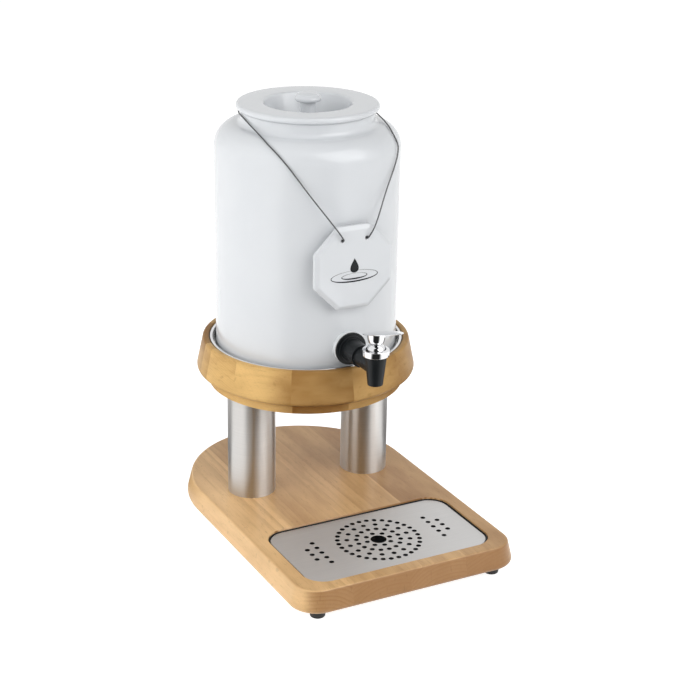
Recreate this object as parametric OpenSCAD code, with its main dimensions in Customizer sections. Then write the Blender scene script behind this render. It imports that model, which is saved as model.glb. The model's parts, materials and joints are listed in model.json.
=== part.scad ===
// Milk dispenser: a glazed pot with a lever tap, cooled from below, on a beech stand with a drip tray.
// Millimetres. The origin is on the table under the middle of the part, +X right, -Y front, +Z up.

/* [Base board] */
// Width of the board at its widest
board_w = 231; // [215:1:260]
// Length of the board from front to back
board_l = 352; // [340:1:400]
// Thickness of the board
board_t = 22; // [20:1:30]
// How far each edge leans in from bottom to top
board_lean = 4; // [1:0.5:7]
// Radius of the front corners in plan
board_corner_r = 27; // [16:1:40]
// Rounding of the lower edge
board_low_round = 4; // [1:0.5:6]
// Rounding of the upper edge
board_top_round = 2; // [0.5:0.5:3]

/* [Feet] */
// Height of a rubber foot
foot_h = 9.5; // [6:0.5:14]
// Diameter of a foot against the board
foot_d = 16; // [13:0.5:20]
// Diameter of a foot on the table
foot_tip_d = 14; // [12:0.5:20]
// From the side of the board to the middle of a front foot
foot_side_inset = 23.5; // [18:0.5:40]
// From the front of the board to the middle of a front foot
foot_front_inset = 17; // [14:0.5:30]
// From the rounded back edge to the middle of a back foot
foot_back_inset = 25; // [18:0.5:32]
// Direction of the back feet from the middle of the rounded end
foot_back_angle = 40; // [25:1:60]
// Diameter of a foot screw
foot_screw_d = 3.5; // [3:0.1:4]
// Length of a foot screw in the board
foot_screw_l = 10; // [6:0.5:11]

/* [Drip tray] */
// From each side of the board to the tray recess
tray_side_gap = 18.5; // [16:0.5:30]
// Length of the tray recess from front to back
tray_l = 109; // [90:1:112]
// Corner radius of the tray recess
tray_corner_r = 21; // [12:1:30]
// Depth of the tray recess
tray_depth = 14; // [11:0.5:16]
// From the front of the board to the tray recess
tray_front_gap = 17.5; // [15:0.5:20]
// Wall of the drip pan
pan_wall = 1.2; // [0.8:0.1:2]
// Floor of the drip pan
pan_floor = 1.6; // [1:0.1:2.5]
// Width of the ledge that carries the grid
pan_ledge = 2.5; // [1.5:0.1:4]
// How far the pan's rim stands above the grid
pan_rim_rise = 0.6; // [0.2:0.1:1]
// Thickness of the drip grid
grid_t = 1; // [0.8:0.1:1.5]
// How far the grid lies below the top of the board
grid_drop = 2; // [1.2:0.1:3]
// Diameter of a drip hole
grid_hole_d = 4; // [3:0.1:4.5]
// Diameter of the middle hole
grid_middle_d = 15; // [10:0.5:17]
// Radius of the first ring of holes
grid_ring_r = 12; // [11:0.5:14]
// Step from one ring of holes to the next
grid_ring_step = 9; // [7.5:0.5:9]
// From the middle to the first straight row of holes
grid_row_x = 60; // [55:1:65]
// Step between the holes of the straight rows
grid_row_step = 10; // [8:0.5:12]

/* [Columns] */
// Diameter of a column
column_d = 47; // [40:1:52]
// Wall of a column tube
column_wall = 2; // [1.5:0.1:3]
// Height of a column between board and ring
column_show = 107; // [95:1:130]
// From the edge of the ring's floor in to a column
column_inset = 9.45; // [5:0.05:16]
// How far the columns stand in front of the ring's axis
column_forward = 8; // [0:0.5:14]
// Depth of the turned seats that hold a column's ends
column_seat = 2; // [1:0.5:3]
// Diameter of a tie rod
rod_d = 6; // [5:0.5:7]
// Width of a tie rod nut across flats
nut_af = 10; // [9:0.5:12]
// Height of a tie rod nut
nut_h = 5; // [4:0.5:5.5]
// Diameter of a tie rod washer
washer_d = 18; // [14:1:20]
// Thickness of a tie rod washer
washer_t = 1.6; // [1:0.1:2]

/* [Ring] */
// From the middle of the board back to the axis of ring and pot
ring_back = 52; // [46:0.5:60]
// Thickness of the ring at its belly
ring_belly_w = 12.1; // [10:0.1:18]
// Thickness of the ring at its top edge
ring_top_w = 6.5; // [5:0.1:9]
// Thickness of the ring where it meets its floor
ring_foot_w = 2.5; // [1.5:0.1:6]
// Gap between the ring's top and the tap's flange
ring_tap_gap = 1.25; // [1:0.05:6]
// Height of the belly above the ring's lower edge
ring_belly_h = 6; // [5:0.5:9]
// Rounding of the belly
ring_belly_round = 4; // [2:0.5:5]
// Rounding of the top edge
ring_top_round = 2.5; // [1:0.5:3]
// Height of the floor's edge that shows under the ring
floor_edge_h = 8; // [6:0.5:10]
// How far the floor's edge stands out past the ring's bore
floor_edge_w = 0.75; // [0.5:0.05:2]
// Height of the floor's spigot inside the ring
spigot_h = 10; // [9:0.5:12]

/* [Cooling insert] */
// Room between the pot and the tub
tub_room = 3.2; // [2.5:0.1:6]
// Thickness of the steel tub
tub_t = 1; // [0.8:0.1:1.2]
// Width of the tub's turned rim
tub_rim_w = 3; // [2.5:0.1:3.4]
// Height of the tub's turned rim
tub_rim_h = 1.6; // [1.4:0.1:2.4]
// Room round the cooling pack in the pot's hollow
pack_room = 4.3; // [3:0.1:12]
// Room over the cooling pack in the pot's hollow
pack_top_room = 3; // [2:0.5:6]
// Rounding of the cooling pack's edges
pack_round = 5; // [2:0.5:7]
// Diameter of the pack's filler plug
pack_plug_d = 24; // [18:1:30]
// Depth of the plug's seat in the pack
pack_plug_h = 8; // [6:0.5:10]

/* [Pot] */
// Diameter of the pot
pot_d = 176.6; // [150:0.2:210]
// Height of the pot up to the neck's rim
pot_h = 252; // [235:1:270]
// Wall of the pot
pot_wall = 6; // [5:0.5:7]
// How far the neck is drawn in from the pot's side
neck_in = 24.8; // [22:0.1:30]
// Height of the neck's straight stretch
neck_h = 8; // [6:0.5:12]
// Radius of the shoulder
shoulder_r = 22; // [20:0.5:24]
// Radius between shoulder and neck
neck_fillet = 5; // [3:0.5:7]
// Thickness of the pot's floor
pot_floor = 6; // [5:0.5:6.5]
// Height of the hollow under the pot
pot_hollow_h = 23; // [22:0.5:24]
// Width of the foot ring under the pot
pot_foot_w = 8; // [7:0.5:9]
// Rounding of the pot's lower edge
pot_low_round = 3; // [1:0.5:4]

/* [Lid] */
// How far the lid reaches past the neck
lid_over = 4; // [3:0.5:7]
// Thickness of the lid's rim
lid_t = 6; // [5:0.5:7]
// Width of the lid's rim round the well
lid_brim_w = 26.5; // [22:0.5:32]
// How far the well narrows towards its floor
lid_well_lean = 5; // [3:0.5:8]
// Depth of the well
lid_well_depth = 22; // [16:0.5:26]
// Wall of the lid
lid_wall = 5; // [4:0.5:6]
// Diameter of the knob
knob_d = 25; // [22:0.5:30]
// How far the knob stands above the rim
knob_rise = 9; // [6:0.5:14]
// Height of the knob's head
knob_h = 8.5; // [7:0.5:10]
// Diameter of the knob's stem
knob_stem_d = 14.7; // [12:0.1:16]
// Height of the locating collar under the lid
plug_h = 6; // [4:0.5:9]
// Wall of the locating collar
plug_wall = 4; // [3:0.5:5]

/* [Tap] */
// Height of the tap's axis above the pot's inner floor
tap_rise = 14; // [13.6:0.1:20]
// Diameter of the flat boss on the pot
boss_d = 32; // [31.5:0.5:36]
// Gap between the boss and the tub's wall
boss_gap = 0.2; // [0.1:0.1:1]
// Diameter of the tap's threaded shank
shank_d = 15.2; // [14:0.2:16]
// Diameter of the tap's passage
passage_d = 9.6; // [8:0.2:10.4]
// Diameter of the tap's flange
flange_d = 31.5; // [28:0.5:33]
// Thickness of the tap's flange
flange_t = 3.6; // [2.5:0.1:5]
// Diameter of the hub behind the pipe
hub_d = 21.6; // [20:0.2:24]
// Length of the hub
hub_l = 20; // [12:0.5:22]
// Diameter of the pipe
pipe_d = 18; // [16:0.2:19]
// From the boss to the spout's axis
spout_reach = 50.7; // [44:0.1:60]
// Diameter of the spout at its tip
spout_tip_d = 14.2; // [13.4:0.2:16]
// Wall of the spout's collar round the lever's ball
collar_wall = 1.4; // [1:0.1:2]
// How far the spout reaches below the tap's axis
spout_drop = 18; // [15:0.5:24]
// Height of the spout's top above the tap's axis
spout_rise = 11; // [10.5:0.1:11.5]
// Diameter of the outlet
outlet_d = 9; // [7:0.2:9.6]
// Step from the collar's bore down into the valve chamber
chamber_step = 1.3; // [1:0.1:1.6]
// Thickness of the outer gasket
outer_gasket_t = 1.2; // [0.8:0.1:2]
// Thickness of the inner gasket
inner_gasket_t = 2; // [1:0.1:3]
// Width of the lock nut across flats
locknut_af = 22; // [20:0.5:23]
// Height of the lock nut
locknut_h = 8; // [6:0.5:10]

/* [Lever] */
// Wall of the bonnet
bonnet_wall = 2.2; // [1.8:0.1:3]
// Height of the bonnet's side
bonnet_side_h = 4.6; // [4.2:0.1:5]
// Height of the whole bonnet
bonnet_h = 6.4; // [6:0.1:6.6]
// Height of the lever's pivot above the tap's axis
pivot_h = 15; // [14.8:0.1:15.2]
// Diameter of the lever's ball
ball_d = 17.2; // [16.8:0.1:17.4]
// Wall of the ball round its hollow
ball_wall = 2.4; // [2.2:0.1:3]
// Diameter of the lever's stem above the ball
stem_low_d = 7.6; // [7:0.2:9]
// Diameter of the lever's stem under the paddle
stem_top_d = 17.4; // [14:0.2:18]
// Length of the paddle
paddle_l = 70; // [60:1:80]
// Width of the paddle
paddle_w = 24; // [18:0.5:30]
// Thickness of the paddle in its middle
paddle_t = 3.4; // [2.8:0.1:4]
// Crown of the paddle across its width, above and below
paddle_crown = 1.1; // [0.6:0.1:1.3]
// How far the paddle's top falls towards its ends
paddle_fall = 1.6; // [1:0.1:2]
// Upward tilt of the paddle towards the front
paddle_tilt = 18; // [12:1:22]
// How far the paddle's middle lies in front of the pivot
paddle_front = 12; // [8:0.5:16]
// How far the paddle's middle lies above the pivot
paddle_up = 21; // [19:0.5:25]
// Diameter of a pivot pin
pin_d = 2.4; // [2:0.1:2.6]

/* [Valve] */
// Diameter of the valve stem
valve_stem_d = 3.6; // [3:0.1:3.8]
// Room round the valve stem's head in the ball
valve_head_room = 0.7; // [0.5:0.1:1]
// Room round the seat cup in its chamber
cup_room = 0.8; // [0.6:0.1:1.4]
// Height of the seat cup
cup_h = 4.5; // [4:0.1:5]
// Height of the stem guide above the tap's axis
guide_h = 5.5; // [5.2:0.1:5.8]
// Thickness of the stem guide
guide_t = 1.2; // [0.8:0.1:1.3]
// Mean diameter of the valve spring
spring_d = 9; // [7:0.1:9.6]
// Wire of the valve spring
spring_wire = 0.9; // [0.7:0.1:1]
// Turns of the valve spring
spring_turns = 5; // [4:1:5]

/* [Sign] */
// Width of the sign across its flats
sign_af = 80; // [70:1:90]
// Thickness of the sign
sign_t = 6; // [5:0.5:6]
// Bevel round the sign's front
sign_bevel = 2.5; // [1:0.5:3]
// Height of the sign's middle above the pot's base
sign_h = 124; // [118:1:126]
// Gap between the pot and the sign's back
sign_gap = 3.6; // [3.6:0.1:4]
// Distance between the cord holes
sign_hole_spacing = 25; // [24:0.5:26]
// From the sign's top edge down to the cord holes
sign_hole_drop = 12.5; // [11:0.5:14]
// Diameter of a cord hole
sign_hole_d = 4; // [3:0.1:5]
// Diameter of the cord
cord_d = 1.4; // [1.2:0.1:1.6]
// Diameter of the crimp that joins the cord's ends
ferrule_d = 2.6; // [2.2:0.1:2.8]
// Length of the crimp
ferrule_l = 8; // [6:0.5:10]

/* [Fits] */
// Clearance of pieces that are glued, pressed or screwed together
fit = 0.05; // [0.02:0.01:0.1]
// Clearance of a turning or sliding piece
run_gap = 0.2; // [0.1:0.05:0.25]
// Clearance between the pan and the board
pan_gap = 0.5; // [0.3:0.1:0.8]
// Clearance between the grid and the pan
grid_gap = 0.6; // [0.3:0.1:1]
// Clearance between the tub and the ring
tub_gap = 0.5; // [0.3:0.1:0.7]
// Clearance between the lid's collar and the neck
plug_gap = 1.5; // [1:0.1:2.5]

/* [Hidden] */
$fn = 96;

// How far a cut runs past the face that it opens
overrun = 1;
// Straight pieces in a quarter of a rounded profile
round_steps = 8;

// Heights from the table up
board_z = foot_h;
board_top = board_z + board_t;
floor_z = board_top + column_show;
ring_z = floor_z + floor_edge_h;
tub_z = ring_z + spigot_h;
pot_z = tub_z + tub_t;
pot_top = pot_z + pot_h;
inner_floor_z = pot_hollow_h + pot_floor;
tap_z = pot_z + inner_floor_z + tap_rise;
ring_top = tap_z - flange_d / 2 - ring_tap_gap;
ring_h = ring_top - ring_z;
pivot_z = tap_z + pivot_h;
sign_z = pot_z + sign_h;

// Radii from the pot outwards
pot_r = pot_d / 2;
tub_in_r = pot_r + tub_room;
tub_r = tub_in_r + tub_t;
tub_rim_r = tub_in_r + tub_rim_w;
ring_bore_r = tub_rim_r + tub_gap;
floor_edge_r = ring_bore_r + floor_edge_w;
boss_out = tub_room - boss_gap;

// Places along the board
back_y = (board_l - board_w) / 2;
corner_y = board_corner_r - board_l / 2;
tray_y = (tray_l - board_l) / 2 + tray_front_gap;
column_y = ring_back - column_forward;
boss_y = ring_back - pot_r - boss_out;
spout_y = boss_y - spout_reach;
sign_back_y = ring_back - pot_r - sign_gap;
column_x = floor_edge_r - column_inset - column_d / 2;
column_xs = [-column_x, column_x];

// Feet: front left, front right, back left, back right
foot_front_x = board_w / 2 - foot_side_inset;
foot_front_y = foot_front_inset - board_l / 2;
foot_back_r = board_w / 2 - foot_back_inset;
foot_back_x = foot_back_r * cos(foot_back_angle);
foot_back_y = back_y + foot_back_r * sin(foot_back_angle);
foot_places = [[-foot_front_x, foot_front_y], [foot_front_x, foot_front_y],
    [-foot_back_x, foot_back_y], [foot_back_x, foot_back_y]];
foot_head_d = 7;
foot_head_h = 2.4;
foot_web = 3;

// Drip tray
tray_w = board_w - 2 * tray_side_gap;
pan_w = tray_w - 2 * pan_gap;
pan_l = tray_l - 2 * pan_gap;
pan_r = tray_corner_r - pan_gap;
pan_z = board_top - tray_depth;
grid_z = board_top - grid_drop - grid_t;
pan_h = grid_z + grid_t + pan_rim_rise - pan_z;
grid_inset = pan_wall + grid_gap;
grid_ring_counts = [8, 16, 16, 32];
grid_row_counts = [5, 3];

// Tie rods
rod_proud = 0.5;
rod_well_room = 1;
rod_well_d = washer_d + 2 * rod_well_room;
rod_well = washer_t + nut_h + 2 * rod_proud;

// Ring and tub
bore_round = 1.5;
spigot_r = ring_bore_r - fit;
tub_h = ring_top - tub_z - tub_gap;
tub_bend = 3;
pack_h = pot_hollow_h - pack_top_room;
plug_slot_w_share = 0.1;
plug_slot_l_share = 0.7;

// Pot: the shoulder's arc and the neck's arc touch each other
neck_r = pot_r - neck_in;
shoulder_c = pot_r - shoulder_r;
fillet_c = neck_r + neck_fillet;
neck_z = pot_h - neck_h;
shoulder_z = neck_z - sqrt(pow(shoulder_r + neck_fillet, 2) - pow(fillet_c - shoulder_c, 2));
touch_angle = atan2(neck_z - shoulder_z, fillet_c - shoulder_c);
inner_low_round = 4;
neck_rim_round = 2;
hollow_round = 4;

// Inside of the tap's joint with the pot
inner_pad_d = 28;
inner_gasket_d = 26;
inner_pad_in = 2.3;
pad_y = ring_back - pot_r + pot_wall + inner_pad_in;
shank_hole_d = shank_d + 2 * run_gap;
shank_end = 3;
flange_step_d = 26;
flange_step_t = 1.4;

// Lid, heights from the neck's rim
lid_round = 2.8;
well_round = 3;
well_fillet = 3;
knob_neck = 3;
plug_r = neck_r - pot_wall - plug_gap;
lid_low = lid_t - lid_well_depth - lid_wall;

// Valve, heights from the tap's axis
seat_drop = 7;
upper_bore_d = ball_d + 3 * run_gap;
upper_bore_h = 1;
chamber_d = upper_bore_d - 2 * chamber_step;
collar_d = upper_bore_d + 2 * collar_wall;
collar_h = bonnet_side_h / 2;
bonnet_d = collar_d + 2 * bonnet_wall;
cup_d = chamber_d - 2 * cup_room;
bonnet_hole_d = ball_d + 6 * run_gap;
ball_cut = 4;
ball_hollow_d = ball_d - 2 * ball_wall;
ball_hollow_h = 5.4;
hollow_bevel = 1.2;
valve_head_d = ball_hollow_d - 2 * valve_head_room;
lip_t = 1.1;
lip_hold = 1.8;
lip_d = valve_head_d - 2 * lip_hold;
lip_y = 0.8;
head_gap = 0.4;
head_t = 1.2;
stem_foot = 2;
cup_lip_d = 8;
cup_lip_h = 1.2;
pin_reach = ball_hollow_d / 2 + fit;
pin_sink = 0.7;
stem_base = 6;
stem_steps = 12;
paddle_pinch_share = 0.3;
paddle_steps = 48;

// Sign
sign_r = sign_af / 2 / cos(180 / 8);
sign_hole_z = sign_z + sign_af / 2 - sign_hole_drop;

// Cord: from the crimp behind the sign, through a hole, up to the neck, round it and back
cord_sides = 8;
cord_left = [[-4, -38.1, 309], [-9.5, -38.1, 309], [-11.6, -39, 309], [-12.5, -41.1, 309], [-12.5, -46, 309],
    [-12.9, -48, 309.9], [-14, -48.9, 312], [-19, -48.4, 319.5], [-38, -32.5, 349], [-56, -17, 378],
    [-61, -9.2, 386], [-64.2, 2, 392], [-65, 12, 395.6], [-64.6, 26, 398.4], [-64.7, 40, 401.6],
    [-64.9, 51, 404.5], [-61, 74, 406.5], [-49.8, 93.6, 406.5], [-32.5, 108, 406.5], [-11.3, 115.9, 406.5]];
cord_right = [[11.3, 115.9, 406.5], [32.5, 108, 406.5], [49.8, 93.6, 406.5], [61, 74, 406.5], [64.9, 51, 404.8],
    [66, 35, 400.4], [64.5, 17, 397], [60.8, -1.8, 392.5], [62.4, -10.6, 382], [59.5, -15.2, 373],
    [39, -32, 346], [19, -48.4, 319.5], [14, -48.9, 312], [12.9, -48, 309.9], [12.5, -46, 309],
    [12.5, -41.1, 309], [11.6, -39, 309], [9.5, -38.1, 309], [4, -38.1, 309]];
cord_route = concat(cord_left, cord_right);
ferrule_place = [0, -38.1, 309];

// Spring
spring_sides = 6;
spring_rings = 8;
spring_low = cup_h - seat_drop + spring_wire / 2 + fit;
spring_high = guide_h - spring_wire / 2 - fit;

// Points of an arc about a centre, from one angle to another
function arc(centre, r, from, to) =
    [for (i = [0 : round_steps]) let (a = from + (to - from) * i / round_steps)
        [centre[0] + r * cos(a), centre[1] + r * sin(a)]];

// A profile's other half, mirrored about its axis
function mirrored(points) = [for (i = [len(points) - 1 : -1 : 0]) [-points[i][0], points[i][1]]];

function between(a, b, t) = a + (b - a) * t;
function knot(a, b) = sqrt(norm(b - a));

// Point on the smooth curve through b and c, with neighbours a and d
function curve_point(a, b, c, d, u) =
    let (t1 = knot(a, b), t2 = t1 + knot(b, c), t3 = t2 + knot(c, d), t = between(t1, t2, u),
        ab = between(a, b, t / t1), bc = between(b, c, (t - t1) / (t2 - t1)), cd = between(c, d, (t - t2) / (t3 - t2)),
        low = between(ab, bc, t / t2), high = between(bc, cd, (t - t1) / (t3 - t1)))
    between(low, high, (t - t1) / (t2 - t1));

// A route with one more point halfway along each stretch
function smoothed(route) =
    let (last = len(route) - 1)
    concat([for (i = [0 : last - 1], u = [0, 0.5])
        let (a = i == 0 ? 2 * route[0] - route[1] : route[i - 1],
            d = i == last - 1 ? 2 * route[last] - route[last - 1] : route[i + 2])
        curve_point(a, route[i], route[i + 1], d, u)], [route[last]]);

function unit(v) = v / norm(v);
function headings(path) =
    [for (i = [0 : len(path) - 1]) unit(path[min(i + 1, len(path) - 1)] - path[max(i - 1, 0)])];

// Cross directions carried along a path without twist
function carried(along, side, i = 0) =
    i == len(along) ? [] :
    let (kept = unit(side - (side * along[i]) * along[i])) concat([kept], carried(along, kept, i + 1));

// Least distance between points of a path that are at least so many points apart
function least_gap(path, apart) =
    min([for (i = [0 : len(path) - 1 - apart], k = [i + apart - 1 : len(path) - 1]) norm(path[k] - path[i])]);

// Round tube swept along a path
module tube(path, d, sides, side) {
    along = headings(path);
    across = carried(along, side);
    last = len(path) - 1;
    points = [for (i = [0 : last], k = [0 : sides - 1])
        let (a = 360 * k / sides, up = cross(along[i], across[i]))
        path[i] + d / 2 * (cos(a) * across[i] + sin(a) * up)];
    skin = [for (i = [0 : last - 1], k = [0 : sides - 1])
        let (m = (k + 1) % sides, p = i * sides, q = p + sides)
        each [[p + k, q + k, q + m], [p + k, q + m, p + m]]];
    caps = [for (k = [1 : sides - 2]) each [[0, k, k + 1],
        [last * sides, last * sides + k + 1, last * sides + k]]];
    polyhedron(points, concat(skin, caps));
}

// Flat outline with round corners
module rounded_outline(w, l, r) {
    square([w - 2 * r, l], center = true);
    square([w, l - 2 * r], center = true);
    for (x = [-1, 1], y = [-1, 1]) translate([x * (w / 2 - r), y * (l / 2 - r)]) circle(r);
}

module rounded_plate(w, l, r, h) {
    linear_extrude(h) rounded_outline(w, l, r);
}

// Children stand on the pot's front with their own axis pointing forward
module facing_front(y) {
    translate([0, y, tap_z]) rotate([90, 0, 0]) children();
}

module at_spout(z) {
    translate([0, spout_y, z]) children();
}

module at_axis(z) {
    translate([0, ring_back, z]) children();
}

module washer(d, hole, h) {
    difference() {
        cylinder(d = d, h = h);
        translate([0, 0, -overrun]) cylinder(d = hole, h = h + 2 * overrun);
    }
}

module hex_nut(af, hole, h) {
    difference() {
        cylinder(d = af / cos(30), h = h, $fn = 6);
        translate([0, 0, -overrun]) cylinder(d = hole, h = h + 2 * overrun);
    }
}

// Half section of the board's edge, from the middle out to w
function board_edge(w) =
    let (slope = atan(board_lean / board_t), top_x = w - board_lean - board_top_round)
    concat([[0, 0]],
        arc([w - board_low_round, board_low_round], board_low_round, -90, slope),
        arc([top_x, board_t - board_top_round], board_top_round, slope, 90),
        [[0, board_t]]);

// Board without its cuts: round back, straight sides, front strip and two corners
module board_blank() {
    side = board_edge(board_w / 2);
    front = board_edge(board_corner_r);
    strip = board_w - 2 * board_corner_r;
    translate([0, back_y, 0]) rotate_extrude(angle = 180) polygon(side);
    translate([0, back_y, 0]) rotate([90, 0, 0])
        linear_extrude(back_y - corner_y) polygon(concat(side, mirrored(side)));
    translate([strip / 2, corner_y, 0]) rotate([90, 0, -90]) linear_extrude(strip) polygon(front);
    for (turn = [0, 90]) translate([(turn == 0 ? -1 : 1) * strip / 2, corner_y, 0])
        rotate([0, 0, 180 + turn]) rotate_extrude(angle = 90) polygon(front);
}

module base_board() {
    color("burlywood") difference() {
        translate([0, 0, board_z]) board_blank();
        translate([0, tray_y, pan_z]) rounded_plate(tray_w, tray_l, tray_corner_r, tray_depth + overrun);
        for (x = column_xs) translate([x, column_y, board_top - column_seat]) {
            cylinder(d = column_d + 2 * fit, h = column_seat + overrun);
            translate([0, 0, -board_t]) cylinder(d = rod_d + 2 * fit, h = board_t + overrun);
        }
        for (x = column_xs) translate([x, column_y, board_z - overrun]) cylinder(d = rod_well_d, h = rod_well + overrun);
        for (p = foot_places) translate([p[0], p[1], board_z - overrun])
            cylinder(d = foot_screw_d + 2 * fit, h = foot_screw_l + fit + overrun);
    }
}

// Rubber foot with a sunk seat for its screw
module foot(place) {
    color("dimgray") translate([place[0], place[1], 0]) difference() {
        cylinder(d1 = foot_tip_d, d2 = foot_d, h = foot_h);
        translate([0, 0, -overrun]) cylinder(d = foot_screw_d + 2 * fit, h = foot_h + 2 * overrun);
        translate([0, 0, -overrun]) cylinder(d = foot_head_d + 2 * run_gap, h = foot_h - foot_web + overrun);
    }
}

module foot_front_left() { foot(foot_places[0]); }
module foot_front_right() { foot(foot_places[1]); }
module foot_back_left() { foot(foot_places[2]); }
module foot_back_right() { foot(foot_places[3]); }

module foot_screws() {
    color("silver") for (p = foot_places) translate([p[0], p[1], foot_h - foot_web - foot_head_h]) {
        cylinder(d = foot_head_d, h = foot_head_h);
        cylinder(d = foot_screw_d, h = foot_head_h + foot_web + foot_screw_l);
    }
}

module column(x) {
    color("lightgray") translate([x, column_y, board_top - column_seat])
        washer(column_d, column_d - 2 * column_wall, column_show + 2 * column_seat);
}

module column_left() { column(column_xs[0]); }
module column_right() { column(column_xs[1]); }

module tie_rods() {
    low = board_z + rod_well - washer_t - nut_h - rod_proud;
    high = tub_z - rod_well + washer_t + nut_h + rod_proud;
    color("silver") for (x = column_xs) translate([x, column_y, low]) cylinder(d = rod_d, h = high - low);
}

module tie_nuts() {
    color("silver") for (x = column_xs, z = [board_z + rod_well - washer_t - nut_h, tub_z - rod_well + washer_t])
        translate([x, column_y, z]) hex_nut(nut_af, rod_d + 2 * fit, nut_h);
}

module tie_washers() {
    color("silver") for (x = column_xs, z = [board_z + rod_well - washer_t, tub_z - rod_well])
        translate([x, column_y, z]) washer(washer_d, rod_d + 2 * fit, washer_t);
}

// Turned disc: its edge shows under the ring and its spigot is glued into the bore
module ring_floor() {
    color("peru") difference() {
        union() {
            at_axis(floor_z) cylinder(r = floor_edge_r, h = floor_edge_h);
            at_axis(floor_z) cylinder(r = spigot_r, h = floor_edge_h + spigot_h);
        }
        for (x = column_xs) translate([x, column_y, 0]) {
            translate([0, 0, floor_z - overrun]) cylinder(d = column_d + 2 * fit, h = column_seat + overrun);
            translate([0, 0, floor_z]) cylinder(d = rod_d + 2 * fit, h = tub_z - floor_z + overrun);
            translate([0, 0, tub_z - rod_well]) cylinder(d = rod_well_d, h = rod_well + overrun);
        }
    }
}

// Section of the ring: lower chamfer, rounded belly, leaning side, rounded top
function ring_section() =
    let (bore_r = ring_bore_r, foot_r = bore_r + ring_foot_w, belly_r = bore_r + ring_belly_w, top_r = bore_r + ring_top_w,
        low_slope = atan2(ring_belly_h, belly_r - foot_r) - 90, lean = atan2(belly_r - top_r, ring_h - ring_belly_h))
    concat([[bore_r, 0], [foot_r, 0]],
        arc([belly_r - ring_belly_round, ring_belly_h + ring_belly_round / 2], ring_belly_round, low_slope, lean),
        arc([top_r - ring_top_round, ring_h - ring_top_round], ring_top_round, lean, 90),
        arc([bore_r + bore_round, ring_h - bore_round], bore_round, 90, 180));

module ring_collar() {
    color("peru") at_axis(ring_z) rotate_extrude() polygon(ring_section());
}

// Section of the tub: floor, bend, wall and turned rim
function tub_section() =
    let (mid_z = tub_h - tub_rim_h / 2)
    concat([[0, 0]],
        arc([tub_r - tub_bend, tub_bend], tub_bend, -90, 0),
        [[tub_r, tub_h - tub_rim_h]],
        arc([tub_rim_r - tub_rim_h / 2, mid_z], tub_rim_h / 2, -90, 90),
        [[tub_in_r, tub_h]],
        arc([tub_r - tub_bend, tub_bend], tub_bend - tub_t, 0, -90),
        [[0, tub_t]]);

module tub() {
    color("silver") at_axis(tub_z) rotate_extrude() polygon(tub_section());
}

function pack_section() =
    let (r = pot_r - pot_foot_w - pack_room)
    concat([[0, 0]],
        arc([r - pack_round, pack_round], pack_round, -90, 0),
        arc([r - pack_round, pack_h - pack_round], pack_round, 0, 90),
        [[0, pack_h]]);

// Flat round bottle of cooling gel, with a seat for its plug
module cool_pack() {
    color("steelblue") at_axis(pot_z) difference() {
        rotate_extrude() polygon(pack_section());
        translate([0, 0, pack_h - pack_plug_h]) cylinder(d = pack_plug_d + 2 * fit, h = pack_plug_h + overrun);
    }
}

// Plug with a slot for a coin
module pack_plug() {
    slot_w = pack_plug_d * plug_slot_w_share;
    slot_l = pack_plug_d * plug_slot_l_share;
    color("navy") at_axis(pot_z + pack_h - pack_plug_h) difference() {
        cylinder(d = pack_plug_d, h = pack_plug_h);
        translate([-slot_l / 2, -slot_w / 2, pack_plug_h / 2]) cube([slot_l, slot_w, pack_plug_h]);
    }
}

// Section of the pot: foot ring, wall, shoulder, neck, and the same line a wall further in
function pot_section() =
    let (in_r = pot_r - pot_wall, hollow_r = pot_r - pot_foot_w)
    concat([[hollow_r, 0]],
        arc([pot_r - pot_low_round, pot_low_round], pot_low_round, -90, 0),
        arc([shoulder_c, shoulder_z], shoulder_r, 0, touch_angle),
        arc([fillet_c, neck_z], neck_fillet, touch_angle - 180, -180),
        arc([neck_r - neck_rim_round, pot_h - neck_rim_round], neck_rim_round, 0, 90),
        arc([neck_r - pot_wall + neck_rim_round, pot_h - neck_rim_round], neck_rim_round, 90, 180),
        arc([fillet_c, neck_z], neck_fillet + pot_wall, 180, touch_angle + 180),
        arc([shoulder_c, shoulder_z], shoulder_r - pot_wall, touch_angle, 0),
        arc([in_r - inner_low_round, inner_floor_z + inner_low_round], inner_low_round, 0, -90),
        [[0, inner_floor_z], [0, pot_hollow_h]],
        arc([hollow_r - hollow_round, pot_hollow_h - hollow_round], hollow_round, 90, 0));

module pot() {
    color("white") difference() {
        union() {
            at_axis(pot_z) rotate_extrude() polygon(pot_section());
            facing_front(ring_back - pot_r + pot_wall / 2)
                cylinder(d = boss_d, h = pot_wall / 2 + boss_out);
            facing_front(pad_y) cylinder(d = inner_pad_d, h = inner_pad_in + pot_wall / 2);
        }
        facing_front(pad_y + overrun) cylinder(d = shank_hole_d, h = pad_y - boss_y + 2 * overrun);
    }
}

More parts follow.
